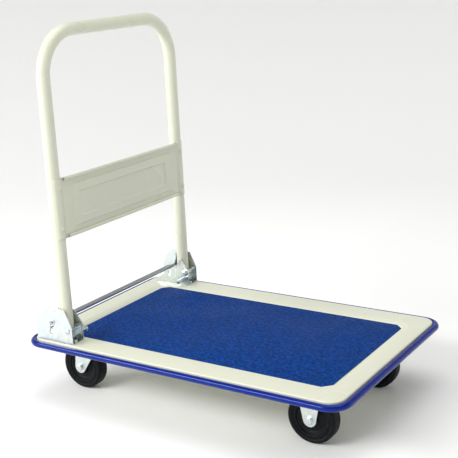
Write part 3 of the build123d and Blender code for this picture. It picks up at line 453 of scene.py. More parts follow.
def polished_steel(tone):
    """Hardened bearing balls: near mirror, with a thin uneven grease film."""
    material, tree, where = new_material("polished_hard_steel")
    film = add(tree, "TexNoise", {"Vector": where, "Scale": per_metre(2.5 * MM), "Detail": 2.0})
    base = add(tree, "Mix", {0: film, 6: shade(tone, 0.9), 7: tone}, **COLOURS)
    gloss = add(tree, "MapRange", {"Value": film, **SPREAD, "To Min": 0.08, "To Max": 0.25})
    return cover(material, {"Base Color": base, "Metallic": 1.0, "Roughness": gloss})


def tyre_rubber(tone):
    """Moulded black rubber: matt, finely pitted, with painted shade for its pits, greyer where talc and dust
    stay in the skin.
    """
    material, tree, where = new_material("moulded_black_rubber")
    dust = add(tree, "TexNoise", {"Vector": where, "Scale": per_metre(16 * MM), "Detail": 4.0})
    pits = add(tree, "TexNoise", {"Vector": where, "Scale": per_metre(0.8 * MM), "Detail": 2.0})
    talc = add(tree, "MapRange", {"Value": dust, **SPREAD})
    base = add(tree, "Mix", {0: talc, 6: tone, 7: shade(tone, 1.9)}, **COLOURS)
    # Painted shade: where the pit noise is high the rubber is drawn darker, standing for shade in its pits.
    deep = add(tree, "MapRange", {"Value": pits, **SPREAD, "To Max": 0.4})
    base = add(tree, "Mix", {0: deep, 6: base, 7: shade(tone, 0.6)}, **COLOURS)
    gloss = add(tree, "MapRange", {"Value": dust, **SPREAD, "To Min": 0.42, "To Max": 0.56})
    normal = add(tree, "Bump", {"Height": pits, "Distance": 0.05 * MM, "Strength": 0.5})
    return cover(material, {"Base Color": base, "Roughness": gloss, "Normal": normal, "IOR": 1.52,
                            "Specular IOR Level": 0.12})


def moulded_plastic(tone):
    """Injection moulded black polypropylene: satin with soft flow marks and a fine spark-eroded texture."""
    material, tree, where = new_material("moulded_black_plastic")
    flow = add(tree, "TexNoise", {"Vector": where, "Scale": per_metre(20 * MM), "Detail": 3.0})
    spark = add(tree, "TexNoise", {"Vector": where, "Scale": per_metre(0.5 * MM), "Detail": 2.0})
    streak = add(tree, "MapRange", {"Value": flow, **SPREAD})
    base = add(tree, "Mix", {0: streak, 6: tone, 7: shade(tone, 1.5)}, **COLOURS)
    gloss = add(tree, "MapRange", {"Value": flow, **SPREAD, "To Min": 0.3, "To Max": 0.42})
    normal = add(tree, "Bump", {"Height": spark, "Distance": 0.02 * MM, "Strength": 0.5})
    return cover(material, {"Base Color": base, "Roughness": gloss, "Normal": normal, "IOR": 1.49,
                            "Specular IOR Level": 0.14})


def studio_paper(tone):
    """Matt white background paper with a barely visible fibre."""
    material, tree, where = new_material("studio_paper")
    fibre = add(tree, "TexNoise", {"Vector": where, "Scale": per_metre(4 * MM), "Detail": 3.0})
    base = add(tree, "Mix", {0: fibre, 6: tone, 7: shade(tone, 0.985)}, **COLOURS)
    return cover(material, {"Base Color": base, "Roughness": 0.9, "Specular IOR Level": 0.15})


# Each of the record's slots: the function that makes its material, and the colour that it takes.
FINISHES = {
    "cream_enamel": (stoved_enamel, "enamel"),
    "blue_mat": (grained_vinyl, "mat"),
    "blue_vinyl": (soft_vinyl, "bumper"),
    "zinc_plate": (bright_zinc, "zinc"),
    "bright_steel": (drawn_steel, "steel"),
    "hard_steel": (polished_steel, "steel"),
    "black_rubber": (tyre_rubber, "tyre"),
    "black_plastic": (moulded_plastic, "core"),
}
made_finishes = {}


def finish(slot):
    """The material of one of the record's slots, made once."""
    if slot not in made_finishes:
        maker, tone = FINISHES[slot]
        made_finishes[slot] = maker(list(getattr(bpy.context.scene.cart_colours, tone)))
    return made_finishes[slot]


# ---- deck ------------------------------------------------------------------------------------------

def mat_rings(grow):
    """The mat's cut-cornered outline, enlarged evenly by grow."""
    low, high = cad_box("deck_mat")
    corner = MAT_CORNER + grow * (2 - math.sqrt(2))
    return outline(low[:2] - grow, high[:2] + grow, corner, cut=True)


MAT_CORNER = 15 * MM
RIM_CORNER = 30 * MM
RIM_LIP = 9 * MM
RIM_BEND = 3 * MM
TRAY_SLOPE = 4 * MM
TRAY_GAP = 0.5 * MM
BEAD_RADIUS = 6.5 * MM
TONGUE = 1.8 * MM


def deck_shell(sizes):
    """Pressed deck: outlines from the skirt's return, up its side, over the rim and down to the tray."""
    low, high = cad_box("deck_pan")
    mat_low = cad_box("deck_mat")[0]
    sheet = sizes.deck_sheet

    def rim(inset):
        return outline(low[:2] + inset, high[:2] - inset, RIM_CORNER - inset)

    top = high[2]
    strip = top - sizes.step_drop
    floor = mat_low[2]
    levels = [(rim(RIM_LIP), low[2]), (rim(1.2 * MM), low[2]), (rim(0.35 * MM), low[2] + 0.35 * MM),
              (rim(0), low[2] + 1.2 * MM), (rim(0), top - RIM_BEND)]
    turn = np.linspace(0, np.pi / 2, 7)[1:]
    levels += [(rim(RIM_BEND * (1 - math.cos(a))), top - RIM_BEND * (1 - math.sin(a))) for a in turn]
    edge = 0.7 * MM
    for grow, z in ((sizes.step_width + 2 * edge, top), (sizes.step_width + edge, top - 0.1 * MM),
                    (sizes.step_width, strip + 0.1 * MM), (sizes.step_width - edge, strip),
                    (TRAY_SLOPE + TRAY_GAP + 2 * edge, strip),
                    (TRAY_SLOPE + TRAY_GAP + edge, strip - 0.12 * MM),
                    (TRAY_SLOPE + TRAY_GAP, strip - 0.5 * MM), (TRAY_GAP + edge, floor + 0.5 * MM),
                    (TRAY_GAP, floor + 0.1 * MM), (TRAY_GAP - edge, floor)):
        levels.append((mat_rings(grow), z))
    rings = ring_stack(levels)
    skin, faces = grid(rings, wrap_columns=True)
    columns = rings.shape[1]
    faces.append(list(range(len(skin) - columns, len(skin))))
    piece = make_piece("deck_shell", [(skin, faces)], finish("cream_enamel"), sharp=50, closed=False)
    point_up(piece)
    wall = piece.modifiers.new("sheet", "SOLIDIFY")
    wall.thickness = sheet
    wall.offset = -1
    wall.use_even_offset = True
    return place(piece, "frame", "cream_enamel", "deck_pan")


def point_up(piece):
    """Turns an open skin's normals so that its largest flat face looks up."""
    work = bmesh.new()
    work.from_mesh(piece.data)
    bmesh.ops.recalc_face_normals(work, faces=work.faces)
    work.faces.ensure_lookup_table()
    largest = max(work.faces, key=lambda face: face.calc_area())
    if largest.normal.z < 0:
        bmesh.ops.reverse_faces(work, faces=work.faces)
    work.to_mesh(piece.data)
    work.free()


def vinyl_mat(sizes):
    """Vinyl sheet with rows of raised lozenges, each a low frustum, leaning left and right in turn."""
    low, high = cad_box("deck_mat")
    face = high[2] - sizes.stud_height
    edge = 0.4 * MM
    levels = [(mat_rings(0), low[2]), (mat_rings(0), face - edge),
              (mat_rings(-0.3 * edge), face - 0.3 * edge), (mat_rings(-edge), face)]
    sheet = capped(ring_stack(levels))
    pitch = sizes.stud_pitch
    margin = 5 * MM
    x = np.arange(low[0] + margin, high[0] - margin, pitch)
    y = np.arange(low[1] + margin, high[1] - margin, pitch)
    x, y = np.meshgrid(x + (high[0] - margin - x[-1]) / 2, y + (high[1] - margin - y[-1]) / 2, indexing="ij")
    lean = np.where((np.indices(x.shape).sum(axis=0) % 2) == 0, 1.0, -1.0) * math.radians(45)
    x, y, lean = x.ravel(), y.ravel(), lean.ravel()
    reach = np.abs(x - (low[0] + high[0]) / 2) + np.abs(y - (low[1] + high[1]) / 2)
    limit = (high[0] - low[0] + high[1] - low[1]) / 2 - MAT_CORNER - margin
    x, y, lean = x[reach < limit], y[reach < limit], lean[reach < limit]
    half = np.array([(1, 0), (0, 1), (-1, 0), (0, -1)]) * np.array([sizes.stud_length, sizes.stud_width]) / 2
    foot, crown = half, half * np.array([0.72, 0.5])
    flat = np.concatenate([foot, crown])
    heights = np.repeat([face - 0.1 * MM, high[2]], 4)
    cos, sin = np.cos(lean)[:, None], np.sin(lean)[:, None]
    points = np.stack([x[:, None] + flat[:, 0] * cos - flat[:, 1] * sin,
                       y[:, None] + flat[:, 0] * sin + flat[:, 1] * cos,
                       np.broadcast_to(heights, (len(x), 8))], axis=-1).reshape(-1, 3)
    around = np.arange(4)
    walls = np.stack([around, (around + 1) % 4, (around + 1) % 4 + 4, around + 4], axis=-1)
    shape = np.concatenate([walls, [[4, 5, 6, 7], [3, 2, 1, 0]]])
    faces = (shape[None] + 8 * np.arange(len(x))[:, None, None]).reshape(-1, 4)
    piece = make_piece("vinyl_mat", [sheet, (points, faces.tolist())], finish("blue_mat"), sharp=30)
    return place(piece, "frame", "blue_mat", "deck_mat")


def bumper_bead():
    """Extruded bumper: one section carried round the rim, a round bead behind which the rim's side shows.

    The bead's section is an arc, out = c + r cos t and z = m + r sin t; its foot grips the skirt."""
    rim_low, rim_high = cad_box("deck_pan")
    low, high = cad_box("bumper_strip")
    reach = high[0] - rim_high[0]
    middle = high[2] - BEAD_RADIUS
    t = np.radians(np.linspace(150, -90, 28))
    nose = np.stack([reach + BEAD_RADIUS * (np.cos(t) - 1), middle + BEAD_RADIUS * np.sin(t)], axis=-1)
    skirt = rim_low[2] - 0.05 * MM
    edge = 0.6 * MM
    groove = [(0.05 * MM, nose[0, 1] - edge)]
    foot = [(TONGUE + edge, middle - BEAD_RADIUS), (TONGUE, middle - BEAD_RADIUS - edge),
            (TONGUE, low[2] + edge), (TONGUE - edge, low[2]), (edge - RIM_LIP, low[2]),
            (-RIM_LIP, low[2] + edge), (-RIM_LIP, skirt),
            (0.05 * MM, skirt)]
    section = np.concatenate([groove, nose, foot])
    levels = [(outline(rim_low[:2] - out, rim_high[:2] + out, RIM_CORNER + out, steps=16), z)
              for out, z in section]
    surface = grid(ring_stack(levels), wrap_rows=True, wrap_columns=True)
    piece = make_piece("bumper_bead", [surface], finish("blue_vinyl"), sharp=50)
    return place(piece, "frame", "blue_vinyl", "bumper_strip")


# ---- handle ----------------------------------------------------------------------------------------

def handle_sizes():
    low, high = cad_box("handle_tube")
    radius = (high[0] - low[0]) / 2
    return {"x": low[0] + radius, "y": high[1] - radius, "top": high[2] - radius, "foot": low[2], "r": radius}


def bow_path(bend, steps=24):
    """The tube's middle line: two straight legs, two quarter circles and a straight top."""
    h = handle_sizes()
    t = np.linspace(0, np.pi / 2, steps)
    first = np.stack([-h["y"] + bend - bend * np.cos(t), h["top"] - bend + bend * np.sin(t)], axis=-1)
    second = first[::-1] * np.array((-1.0, 1.0))
    legs = np.linspace(h["foot"], h["top"] - bend, 12, endpoint=False)
    near = np.stack([np.full_like(legs, -h["y"]), legs], axis=-1)
    yz = np.concatenate([near, first, second, near[::-1] * np.array((-1.0, 1.0))])
    return np.column_stack([np.full(len(yz), h["x"]), yz])


def handle_bow(sizes):
    """Bent tube with a real wall: the outer skin from foot to foot, then the inner skin back again."""
    path = bow_path(sizes.tube_bend)
    radius = handle_sizes()["r"]
    reference = np.array((1.0, 0.0, 0.0))
    outer = swept(path, radius, reference, sides=48, ends=False)
    inner = swept(path, radius - sizes.tube_wall, reference, sides=48, ends=False)
    points = np.concatenate([outer, inner[::-1]])
    surface = grid(points, wrap_rows=True, wrap_columns=True)
    piece = make_piece("handle_bow", [surface], finish("cream_enamel"), sharp=50)
    return place(piece, "handle", "cream_enamel", "handle_tube")


RELIEF_OUTSIDE = (41 * MM, 19 * MM)
RELIEF_INSIDE = (60 * MM, 37 * MM)


def smooth_step(value):
    value = np.clip(value, 0, 1)
    return value * value * (3 - 2 * value)


def relief(y, z, low_z, high_z, leg_y, height):
    """Height of the pressed frame: it rises over its outer edge and falls again over its inner edge.

    Each edge is a smooth step over a few millimetres of the distance inside a rectangle."""
    slope = 2.6 * MM

    def inside(insets):
        side = leg_y - insets[0] - np.abs(y)
        end = np.minimum(z - low_z - insets[1], high_z - insets[1] - z)
        return smooth_step(0.5 + np.minimum(side, end) / slope)
    return height * (inside(RELIEF_OUTSIDE) - inside(RELIEF_INSIDE))


def fine_steps(start, end, marks, spacing, reach=2.0 * MM, coarse=14 * MM):
    """Positions from start to end: coarse all along, and fine near each mark."""
    parts = [np.linspace(start, end, int((end - start) / coarse) + 2)]
    parts += [np.arange(mark - reach, mark + reach + spacing / 2, spacing) for mark in marks]
    return np.unique(np.clip(np.concatenate(parts), start, end).round(7))


def panel_sheet(sizes):
    """Pressed panel: a flat sheet with a raised frame, rolled long edges and ends wrapped round the legs."""
    h = handle_sizes()
    low, high = cad_box("handle_panel")
    sheet = sizes.panel_sheet
    roll = sizes.panel_roll
    middle_r = h["r"] + 0.1 * MM + sheet / 2
    sheet_x = low[0] + sheet / 2
    end_y = h["y"] - h["r"] - 2 * MM
    marks_y = [side * (h["y"] - inset) for side in (-1, 1) for inset in (RELIEF_OUTSIDE[0], RELIEF_INSIDE[0])]
    y = fine_steps(-end_y, end_y, marks_y, 0.5 * MM)
    flat_low, flat_high = low[2] + roll, high[2] - roll
    marks_z = [flat_low, flat_high] + [low[2] + e[1] for e in (RELIEF_OUTSIDE, RELIEF_INSIDE)]
    marks_z += [high[2] - e[1] for e in (RELIEF_OUTSIDE, RELIEF_INSIDE)]
    z = fine_steps(flat_low, flat_high, marks_z, 0.5 * MM)
    curl = roll - sheet / 2
    turn = np.linspace(np.radians(330), 0, 26)[:-1]
    low_roll = np.stack([sheet_x + curl - curl * np.cos(turn), flat_low - curl * np.sin(turn)], axis=-1)
    high_roll = (low_roll * np.array((1.0, -1.0)) + np.array((0.0, low[2] + high[2])))[::-1]
    flat = np.stack([np.full_like(z, sheet_x), z], axis=-1)
    section = np.concatenate([low_roll, flat, high_roll])
    lift = relief(y[None, :], section[:, 1:], low[2], high[2], h["y"], sizes.relief_height)
    is_flat = np.zeros(len(section))
    is_flat[len(low_roll):len(low_roll) + len(z)] = 1
    points = np.stack([section[:, :1] + lift * is_flat[:, None], np.broadcast_to(y, (len(section), len(y))),
                       np.broadcast_to(section[:, 1:], (len(section), len(y)))], axis=-1)
    surfaces = [grid(points)]
    start = math.asin((sheet_x - h["x"]) / middle_r)
    arc = np.linspace(start, np.pi - start, 24)
    around_y = h["y"] + middle_r * np.cos(arc)[::-1]
    around_x = h["x"] + middle_r * np.sin(arc)[::-1]
    wrap_y = np.concatenate([[end_y], around_y])
    wrap_x = np.concatenate([[sheet_x], around_x])
    wrap_z = np.concatenate([[low[2]], z, [high[2]]])
    for side in SIDES.values():
        x_grid, z_grid = np.meshgrid(wrap_x, wrap_z, indexing="xy")
        y_grid = np.broadcast_to(side * wrap_y, x_grid.shape)
        surfaces.append(grid(np.stack([x_grid, y_grid, z_grid], axis=-1)))
    piece = make_piece("panel_sheet", surfaces, finish("cream_enamel"), sharp=50)
    wall = piece.modifiers.new("sheet", "SOLIDIFY")
    wall.thickness = sheet
    wall.offset = 0
    wall.use_even_offset = True
    return place(piece, "handle", "cream_enamel", "handle_panel")


def rivet_heads():
    """Domed rivets on the front of the legs: a low cap, r = R cos t and s = H sin t, on a short shank."""
    h = handle_sizes()
    low, high = cad_box("panel_rivets")
    radius = 4.5 * MM
    seat = high[0] - 2.0 * MM
    t = np.linspace(0, np.pi / 2, 9)
    dome = list(zip(radius * np.cos(t), 0.5 * MM + 1.5 * MM * np.sin(t)))
    profile = [(0, low[0] - seat), (2.5 * MM, low[0] - seat), (2.5 * MM, 0), (radius - 0.2 * MM, 0), *dome]
    heights = (low[2] + radius, high[2] - radius)
    surfaces = [turned(profile, (seat, side * h["y"], z), (1, 0, 0), 32)
                for side in SIDES.values() for z in heights]
    piece = make_piece("rivet_heads", surfaces, finish("cream_enamel"))
    return place(piece, "handle", "zinc_plate", "panel_rivets")


# ---- stamped plates --------------------------------------------------------------------------------

def stamped_plate(node, edge):
    """A copy of a CAD plate: doubles merged, flat faces joined, edges rounded as a press leaves them."""
    mesh = frame["nodes"][node].data.copy()
    if "custom_normal" in mesh.attributes:
        mesh.attributes.remove(mesh.attributes["custom_normal"])
    work = bmesh.new()
    work.from_mesh(mesh)
    bmesh.ops.remove_doubles(work, verts=work.verts, dist=1e-6)
    bmesh.ops.dissolve_limit(work, angle_limit=math.radians(1.0), verts=work.verts, edges=work.edges)
    work.to_mesh(mesh)
    work.free()
    piece = finish_mesh(node + "_plate", mesh, finish("zinc_plate"), 30)
    rounding = piece.modifiers.new("edges", "BEVEL")
    rounding.width = edge
    rounding.segments = 2
    rounding.limit_method = "ANGLE"
    rounding.angle_limit = math.radians(40)
    rounding.harden_normals = False
    return piece


# ---- turned and wound pieces -----------------------------------------------------------------------

def node_centre(node):
    low, high = cad_box(node)
    return (low + high) / 2


def release_rod():
    """Cross bar stepped down at both ends, with small chamfers, turned about the Y axis."""
    low, high = cad_box("release_bar")
    shoulder = cad_box("bracket_left")[0][1] - 0.3 * MM
    end = high[1]
    thick, thin = (high[0] - low[0]) / 2, 4 * MM
    chamfer = 0.6 * MM
    half = [(0, end), (thin - chamfer, end), (thin, end - chamfer), (thin, shoulder),
            (thick - chamfer, shoulder),
            (thick, shoulder - chamfer)]
    profile = half + [(r, -s) for r, s in reversed(half)]
    centre = (low + high) / 2
    piece = make_piece("release_rod", [turned(profile, centre, AXIS_Y, 40)], finish("bright_steel"), sharp=30)
    return place(piece, "release_bar", "bright_steel", "release_bar")


def release_coil(name, side, wire):
    """Tension spring: a helix c + a t + R(cos wt, sin wt) between a loop on the bar and one on the pin."""
    low, high = cad_box(f"release_spring_{name}")
    bar = node_centre("release_bar")
    pin_low, pin_high = cad_box("spring_anchor_pins")
    y = (low[1] + high[1]) / 2
    start = np.array((bar[0], y, bar[2]))
    end = np.array(((pin_low[0] + pin_high[0]) / 2, y, (pin_low[2] + pin_high[2]) / 2))
    axis = end - start
    reach = np.linalg.norm(axis)
    axis /= reach
    bar_loop, pin_loop = 5.0 * MM, 2.9 * MM
    across = np.cross(axis, AXIS_Y)
    coil_radius = (high[1] - low[1]) / 2 - wire / 2
    first, last = bar_loop + wire, reach - pin_loop - wire
    turns = (last - first) / (wire * 1.12)
    t = np.linspace(0, 1, int(turns * 18))
    angle = 2 * np.pi * turns * t
    helix = (start + np.outer(first + (last - first) * t, axis)
             + coil_radius * (np.outer(np.cos(angle), AXIS_Y) + np.outer(np.sin(angle), across)))
    surfaces = [swept(helix, wire / 2, axis, sides=8)]
    for centre, radius, sign in ((start, bar_loop, 1.0), (end, pin_loop, -1.0)):
        s = np.linspace(np.radians(-150), np.radians(150), 28)
        hook = centre + radius * (np.outer(sign * np.cos(s), axis) + np.outer(np.sin(s), across))
        surfaces.append(swept(hook, wire / 2, np.array(AXIS_Y), sides=8))
    piece = make_piece(f"release_coil_{name}", surfaces, finish("bright_steel"), sharp=60)
    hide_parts(f"release_spring_{name}")
    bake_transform(piece)
    return piece


def plated(name, surfaces, body, node, **look):
    """A zinc-plated piece, made from its surfaces and placed in its body."""
    return place(make_piece(name, surfaces, finish("zinc_plate"), **look), body, "zinc_plate", node)


# Length of an inner cheek's pivot bolt past the cheek: the nut, then the threaded tip.
PIVOT_NUT = 6.5 * MM
PIVOT_TIP = 2 * MM
# Reach of a cheek stud: its stem and then its head.
STUD_STEM = 22 * MM
STUD_HEAD = 3 * MM
# Half the spacing of a caster's bolts, along and across the cart.
CASTER_BOLTS_X = 37.5 * MM
CASTER_BOLTS_Y = 22.5 * MM


def pivot_screws():
    """Domed bolts that the handle turns on, with a turned shank and a threaded tip inside the nut."""
    low, high = cad_box("pivot_bolts")
    x, z = (low[0] + high[0]) / 2, (low[2] + high[2]) / 2
    outer = high[1]
    seat = cad_box("bracket_left")[1][1]
    inner = cad_box("bracket_left")[0][1] - (PIVOT_NUT + PIVOT_TIP)
    head = (high[0] - low[0]) / 2
    t = np.linspace(0, np.pi / 2, 10)
    rise = outer - seat
    dome = [(head * math.cos(a), seat + 0.5 * MM + (rise - 0.5 * MM) * math.sin(a)) for a in t]
    shank = 4 * MM
    profile = [(0, inner), (shank - 0.8 * MM, inner),
               *threaded(shank, inner + 0.5 * MM, inner + 8.5 * MM, 1.25 * MM),
               (shank, inner + 9 * MM), (shank, seat), (head - 0.2 * MM, seat), *dome]
    surfaces = [turned(profile, (x, 0, z), (0, side, 0), 48) for side in SIDES.values()]
    piece = make_piece("pivot_screws", surfaces, finish("zinc_plate"))
    return place(piece, "frame", "zinc_plate", "pivot_bolts")


def cheek_studs():
    """Headed studs on the inner cheeks, with a turned collar under the head."""
    low, high = cad_box("inner_studs")
    x, z = (low[0] + high[0]) / 2, (low[2] + high[2]) / 2
    head = (high[0] - low[0]) / 2
    root = cad_box("bracket_left")[0][1]
    tip = root - (STUD_STEM + STUD_HEAD)
    stem = 4 * MM
    profile = [(0, root + 2 * MM), (3 * MM, root + 2 * MM), (3 * MM, root), (stem, root),
               (stem, tip + 4.2 * MM),
               (stem - 0.6 * MM, tip + 3.9 * MM), (stem - 0.6 * MM, tip + 3.0 * MM),
               (head - 0.5 * MM, tip + 3.0 * MM),
               (head, tip + 2.5 * MM), (head, tip + 0.9 * MM), (head - 0.35 * MM, tip + 0.3 * MM),
               (head - 1.1 * MM, tip), (0, tip)]
    surfaces = [turned(profile, (x, 0, z), (0, side, 0), 40) for side in SIDES.values()]
    return plated("cheek_studs", surfaces, "frame", "inner_studs")


def anchor_pins():
    """Pins for the springs' upper ends, with a small lip and a riveted outer end."""
    low, high = cad_box("spring_anchor_pins")
    x, z = (low[0] + high[0]) / 2, (low[2] + high[2]) / 2
    far = cad_box("bracket_left")[1][1]
    near = far - 19 * MM
    profile = [(0, near - 1 * MM), (2.6 * MM, near - 1 * MM), (3 * MM, near - 0.7 * MM),
               (3 * MM, near - 0.1 * MM),
               (2 * MM, near), (2 * MM, far - 2 * MM), (2.15 * MM, far), (3.2 * MM, far),
               (3.0 * MM, far + 0.6 * MM),
               (2.0 * MM, far + 0.95 * MM), (0, far + 1.0 * MM)]
    surfaces = [turned(profile, (x, 0, z), (0, side, 0), 32) for side in SIDES.values()]
    return plated("anchor_pins", surfaces, "frame", "spring_anchor_pins")


def push_clips():
    """Thin pressed rings that keep the bar from sliding sideways, dished a little."""
    low, high = cad_box("bar_clips")
    x, z = (low[0] + high[0]) / 2, (low[2] + high[2]) / 2
    outer = high[1]
    radius = (high[0] - low[0]) / 2
    bore = 4.05 * MM
    profile = [(bore, outer - 0.9 * MM), (radius - 0.3 * MM, outer - 1.0 * MM), (radius, outer - 0.7 * MM),
               (radius - 0.3 * MM, outer - 0.35 * MM), (bore + 1.2 * MM, outer - 0.1 * MM), (bore, outer)]
    surfaces = [turned(profile, (x, 0, z), (0, side, 0), 40, ring=True) for side in SIDES.values()]
    return plated("push_clips", surfaces, "release_bar", "bar_clips")


# ---- bolts and nuts --------------------------------------------------------------------------------

def screw(place_at, axis, flats, head, shank, reach, pitch):
    """A hexagon screw: head on the far side of its seat, shank and thread back along the axis."""
    centre = np.array(place_at)
    head_part = six_sided(centre, axis, flats, head)
    profile = [(0, -reach), (shank - 0.7 * MM, -reach),
               *threaded(shank, -reach + 0.5 * MM, -reach * 0.45, pitch),
               (shank, -reach * 0.4), (shank, 0.02 * MM), (0, 0.02 * MM)]
    return [head_part, turned(profile, centre, axis, 32)]


def base_bolts():
    """Bolts that hold the brackets to the rim: one pair near each end of the base."""
    low, high = cad_box("bracket_bolts")
    bracket_low, bracket_high = cad_box("bracket_left")
    y = (bracket_low[1] + bracket_high[1]) / 2
    seat = bracket_low[2] + 2 * MM
    reach = seat - low[2]
    ends = (bracket_high[0] - 9 * MM, bracket_low[0] + 20 * MM)
    surfaces = []
    for side in SIDES.values():
        for x in ends:
            surfaces += screw((x, side * y, seat), AXIS_Z, 10 * MM, high[2] - seat, 3 * MM, reach, 1 * MM)
    plated("base_bolts", surfaces, "frame", "bracket_bolts", sharp=30)
    nut_low, nut_high = cad_box("bracket_nuts")
    surfaces = []
    for side in SIDES.values():
        for x in ends:
            centre = (x, side * y, nut_high[2])
            surfaces.append(six_sided(centre, (0, 0, -1), 10 * MM, nut_high[2] - nut_low[2], 3.05 * MM))
            flange = [(3.05 * MM, 0), (7 * MM, 0), (7 * MM, 0.8 * MM), (5.2 * MM, 1.6 * MM),
                      (3.05 * MM, 1.6 * MM)]
            surfaces.append(turned(flange, centre, (0, 0, -1), 36, ring=True))
    plated("base_nuts", surfaces, "frame", "bracket_nuts", sharp=30)


def caster_screws():
    """Sixteen bolts with washers that hold the casters to the cross plates."""
    low, high = cad_box("caster_bolts")
    washer_low, washer_high = cad_box("caster_washers")
    surfaces, washers = [], []
    radius = 8 * MM
    ring = [(4.15 * MM, 0), (radius - 0.3 * MM, 0), (radius, 0.3 * MM), (radius, 1.3 * MM),
            (radius - 0.3 * MM, 1.6 * MM), (4.15 * MM, 1.6 * MM)]
    for front in (0, 1):
        for side in SIDES.values():
            plate = "fixed_fork" if front else "swivel_plate"
            hub = node_centre(f"{plate}_{'left' if side > 0 else 'right'}")
            for dx in (-CASTER_BOLTS_X, CASTER_BOLTS_X):
                for dy in (-CASTER_BOLTS_Y, CASTER_BOLTS_Y):
                    x, y = hub[0] + dx, hub[1] + dy
                    surfaces += screw((x, y, washer_low[2]), (0, 0, -1),
                                      13 * MM, washer_low[2] - low[2], 4 * MM,
                                      high[2] - washer_low[2], 1.25 * MM)
                    washers.append(turned(ring, (x, y, washer_high[2]), (0, 0, -1), 36, ring=True))
    plated("caster_screws", surfaces, "frame", "caster_bolts", sharp=30)
    plated("washers", washers, "frame", "caster_washers", sharp=30)


def axle_hardware(end, name, side):
    """The axle's hexagon bolt, with its head outside, and its nut inside the fork."""
    body = "frame" if end == "front" else f"swivel_{name}"
    node = f"axle_bolt_{end}_{name}"
    low, high = cad_box(node)
    nut_low, nut_high = cad_box(f"axle_nut_{end}_{name}")
    x, z = (low[0] + high[0]) / 2, (low[2] + high[2]) / 2
    head = 5.3 * MM
    outer = high[1] if side > 0 else -low[1]
    inner = low[1] if side > 0 else -high[1]
    seat = outer - head
    surfaces = screw((x, side * seat, z), (0, side, 0), 13 * MM, head, 4 * MM, seat - inner, 1.25 * MM)
    piece = make_piece(f"axle_screw_{end}_{name}", surfaces, finish("zinc_plate"), sharp=30)
    place(piece, body, "zinc_plate", node)
    seat = nut_high[1] if side > 0 else -nut_low[1]
    start = (x, side * seat, z)
    nut = six_sided(start, (0, -side, 0), 13 * MM, nut_high[1] - nut_low[1], 4.05 * MM, turn=0.3)
    piece = make_piece(f"axle_lock_{end}_{name}", [nut], finish("zinc_plate"), sharp=30)
    place(piece, body, "zinc_plate", f"axle_nut_{end}_{name}")


def pivot_lock_nuts():
    """Nuts on the handle's two pivot bolts, inside the inner cheeks."""
    low, high = cad_box("pivot_nuts")
    x, z = (low[0] + high[0]) / 2, (low[2] + high[2]) / 2
    height = 6.5 * MM
    surfaces = [six_sided((x, side * high[1], z), (0, -side, 0), 13 * MM, height, 4.05 * MM)
                for side in SIDES.values()]
    piece = make_piece("pivot_lock_nuts", surfaces, finish("zinc_plate"), sharp=30)
    return place(piece, "frame", "zinc_plate", "pivot_nuts")


# ---- wheels ----------------------------------------------------------------------------------------

def mirrored(half):
    return list(half) + [(r, -s) for r, s in reversed(list(half))]


def rolling_tyre(end, name):
    """Rubber tyre: a crowned tread, round shoulders and a shallow groove beside the wheel centre's rim."""
    node = f"tyre_{end}_{name}"
    low, high = cad_box(node)
    outer = (high[2] - low[2]) / 2
    half_width = (high[1] - low[1]) / 2
    inner = outer - 12 * MM
    half = [(inner, 0), (inner, half_width - 2.2 * MM), (inner + 0.5 * MM, half_width - 0.9 * MM),
            (inner + 2.2 * MM, half_width - 0.7 * MM), (inner + 3.0 * MM, half_width - 1.3 * MM),
            (inner + 3.9 * MM, half_width - 0.4 * MM), (inner + 5.0 * MM, half_width),
            (outer - 4.5 * MM, half_width), (outer - 0.7 * MM, half_width - 2.6 * MM),
            (outer - 0.25 * MM, half_width - 6.5 * MM), (outer, 0)]
    corner = np.array([0.1, 0.3, 0.4, 0.6, 0.4, 0.5, 0.8, 2.2, 2.0, 2.0, 0.1]) * MM
    section = softened(half, corner, steps=4)
    profile = np.concatenate([section, section[::-1][1:-1] * np.array((1.0, -1.0))])
    centre = (low + high) / 2
    piece = make_piece(f"rolling_tyre_{end}_{name}", [turned(profile, centre, AXIS_Y, 96, ring=True)],
                       finish("black_rubber"), sharp=50)
    return place(piece, f"wheel_{end}_{name}", "black_rubber", node)


def wheel_centre(end, name):
    """Moulded centre: bored hub, dished web with two steps, and the rim that carries the tyre."""
    node = f"wheel_core_{end}_{name}"
    low, high = cad_box(node)
    outer = (high[2] - low[2]) / 2
    hub_side = (high[1] - low[1]) / 2
    bore = 6.05 * MM
    half = [(bore, 0), (bore, hub_side - 0.6 * MM), (bore + 0.6 * MM, hub_side), (12.5 * MM, hub_side),
            (14.6 * MM, hub_side - 1.0 * MM), (15.6 * MM, 9.6 * MM), (18.5 * MM, 8.0 * MM),
            (26.5 * MM, 7.2 * MM),
            (27.6 * MM, 8.6 * MM), (31.6 * MM, 9.2 * MM), (32.8 * MM, 12.1 * MM), (34.0 * MM, 12.5 * MM),
            (outer - 1.0 * MM, 12.5 * MM), (outer - 0.1 * MM, 11.7 * MM), (outer - 0.1 * MM, 0)]
    section = softened(half, 0.9 * MM, steps=3)
    profile = np.concatenate([section, section[::-1][1:-1] * np.array((1.0, -1.0))])
    centre = (low + high) / 2
    piece = make_piece(f"wheel_centre_{end}_{name}", [turned(profile, centre, AXIS_Y, 96, ring=True)],
                       finish("black_plastic"), sharp=50)
    return place(piece, f"wheel_{end}_{name}", "black_plastic", node)


# ---- operators -------------------------------------------------------------------------------------

class CART_OT_deck(bpy.types.Operator):
    """Builds the pressed deck, its vinyl mat and the bumper around it"""
    bl_idname = "cart.deck"
    bl_label = "Deck, mat and bumper"

    def execute(self, context):
        sizes = context.scene.cart_sizes
        deck_shell(sizes)
        vinyl_mat(sizes)
        bumper_bead()
        return {"FINISHED"}


